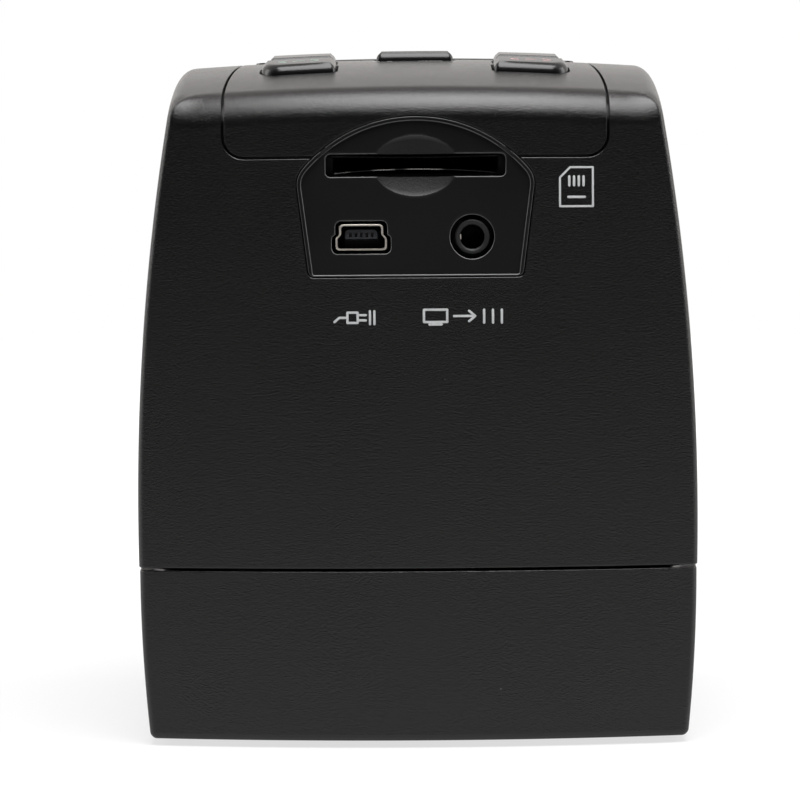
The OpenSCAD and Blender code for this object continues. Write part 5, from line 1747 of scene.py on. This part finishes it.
def floor_finish():
    """Floor that the camera sees near white, with a brightness of its own in mirrors."""
    m = material("studio_floor", specular=0.1, Roughness=0.9)
    tree = m.tree
    patches = noise(tree, m.place, 6.0, Detail=3.0)
    tone = math_node(tree, "MULTIPLY_ADD", patches, 0.02, 0.99)
    away = vector_node(tree, "LENGTH", {0: m.place})["Value"]
    lift = ramp(tree, away, 0.12, 0.4, FLOOR_LIFT, smooth=True)
    seen = math_node(tree, "MULTIPLY", seen_by(tree, "Is Camera Ray"), lift)
    near = ramp(tree, away, 0.4, 0.9, FLOOR_NEAR, smooth=True)
    ahead = ramp(tree, along(tree, m.place, "Y"), -0.5, -0.12, AHEAD, smooth=True)
    mirrored = math_node(tree, "MULTIPLY", seen_by(tree, *MIRRORED), near)
    mirrored = math_node(tree, "MULTIPLY", mirrored, ahead)
    feed(
        m.surface,
        Base_Color=scaled(tree, tuple(bpy.context.scene.scanner_colours.floor), tone),
        Emission_Strength=math_node(tree, "ADD", seen, mirrored),
    )
    m.surface.inputs["Emission Color"].default_value = (1, 1, 1, 1)
    return m.made


def felt():
    """Dark card in front of the object, which only its reflections show."""
    m = material("dark_card", specular=0.0, Roughness=1.0)
    feed(m.surface, Base_Color=scaled(m.tree, (0.01,) * 3, noise(m.tree, m.place, 40.0)))
    return m.made


def surround():
    """World that the camera sees white, with a dimmer ceiling and front in mirrors."""
    world = bpy.data.worlds.new("studio")
    world.use_nodes = True
    tree = world.node_tree
    tree.nodes.clear()
    way = add(tree, "ShaderNodeTexCoord").outputs["Generated"]
    above = ramp(tree, along(tree, way, "Z"), 0.55, 0.95, 1.0, CEILING, smooth=True)
    ahead = ramp(tree, along(tree, way, "Y"), -0.5, -0.05, AHEAD, smooth=True)
    shown = seen_by(tree, *MIRRORED)
    level = {0: shown, 2: FILL, 3: math_node(tree, "MULTIPLY", above, ahead)}
    level = add(tree, "ShaderNodeMix", level).outputs[0]
    level = math_node(tree, "MAXIMUM", level, seen_by(tree, "Is Camera Ray"))
    light = {"Color": mixed(tree, shown, (1, 1, 1, 1), WARM), "Strength": level}
    light = add(tree, "ShaderNodeBackground", light)
    feed(add(tree, "ShaderNodeOutputWorld"), Surface=light.outputs[0])
    return world


def lamp(name, place, aim, size, power):
    data = bpy.data.lights.new(name, "AREA")
    data.shape = "RECTANGLE"
    data.size, data.size_y = size
    data.energy = power
    made = link(name, data)
    made.location = place
    made.rotation_euler = (Vector(aim) - Vector(place)).to_track_quat("-Z", "Y").to_euler()
    return made


class BuildStage(Operator):
    """Pale floor, white surround, soft lamps and the camera at the photograph's angle."""

    bl_idname = "scanner.stage"
    bl_label = "Stage"

    def execute(self, context):
        scene = context.scene
        r = FLOOR_REACH
        floor = sheet("floor", [(-r, -r, 0), (r, -r, 0), (r, r, 0), (-r, r, 0)], floor_finish())
        x, y, low, high = CARD
        card = sheet("dark_card", [(-x, y, low), (x, y, low), (x, y, high), (-x, y, high)], felt())
        card.visible_camera = False
        card.visible_shadow = False
        scene.world = surround()
        for values in LAMPS:
            lamp(*values)
        camera = scene.camera = link("camera", bpy.data.cameras.new("camera"))
        camera.data.lens = LENS
        camera.data.clip_start, camera.data.clip_end = 0.02, 20
        camera.location = CAMERA
        camera.rotation_euler = [math.radians(a) for a in CAMERA_TURN]
        scene.view_settings.view_transform = "Standard"
        return {"FINISHED"}


MIRRORED = ("Is Glossy Ray", "Is Transmission Ray")
FLOOR_REACH = 4.0
FLOOR_LIFT = 0.7  # share of white that the camera sees of the floor near the object
FLOOR_NEAR = 0.3  # share that mirrors see of it there
FILL = 0.3  # surround's light on rough surfaces
CEILING = 0.55  # share that mirrors see of it overhead
AHEAD = 0.06  # share that mirrors see of floor and surround behind the camera
WARM = (1.0, 0.965, 0.94, 1)
CARD = (1.6, -0.95, 0.0, 0.8)  # half width, place in depth, lower and upper edge
LENS = 128.0
CAMERA = (0.0, -0.4595, 0.0665)
CAMERA_TURN = (87.905, 0.41, 0.328)
# Name, place, aim, size and power
LAMPS = [
    ("top_box", (0.12, -0.51, 1.15), (0.12, -0.51, 0), (0.8, 0.95), 16.5),
    ("left_box", (-1.1, 0.1, 0.6), (0, 0, 0.05), (0.5, 0.7), 3.0),
    ("right_box", (1.1, 0.1, 0.6), (0, 0, 0.05), (0.5, 0.7), 3.0),
]


# ---- registration ---------------------------------------------------------

OPERATORS = (
    BuildUpperHousing, BuildCover, BuildBase, BuildPortPanel, BuildKeys, BuildWindow,
    BuildDataPort, BuildJack, BuildCardSocket, BuildScrews, BuildFeet, BuildInside,
    BuildPrints, BuildStage,
)
GROUPS = {
    "scanner_housing": HousingSizes,
    "scanner_openings": OpeningSizes,
    "scanner_keys": KeySizes,
    "scanner_colours": FinishColours,
}


class ScannerPanel(Panel):
    """Lists the scanner's operators, sizes and colours."""

    bl_idname = "VIEW3D_PT_scanner"
    bl_label = "Film negative scanner"
    bl_space_type = "VIEW_3D"
    bl_region_type = "UI"
    bl_category = "Scanner"

    def draw(self, context):
        for operator in OPERATORS:
            self.layout.operator(operator.bl_idname)
        for name, kind in GROUPS.items():
            box = self.layout.box()
            for prop in kind.__annotations__:
                box.prop(getattr(context.scene, name), prop)


def register():
    for kind in (*GROUPS.values(), *OPERATORS, ScannerPanel):
        bpy.utils.register_class(kind)
    for name, kind in GROUPS.items():
        setattr(bpy.types.Scene, name, PointerProperty(type=kind))


def unregister():
    for name in GROUPS:
        delattr(bpy.types.Scene, name)
    for kind in reversed((*GROUPS.values(), *OPERATORS, ScannerPanel)):
        bpy.utils.unregister_class(kind)


def main():
    register()
    for operator in OPERATORS:
        family, name = operator.bl_idname.split(".")
        getattr(getattr(bpy.ops, family), name)()


if __name__ == "__main__":
    main()
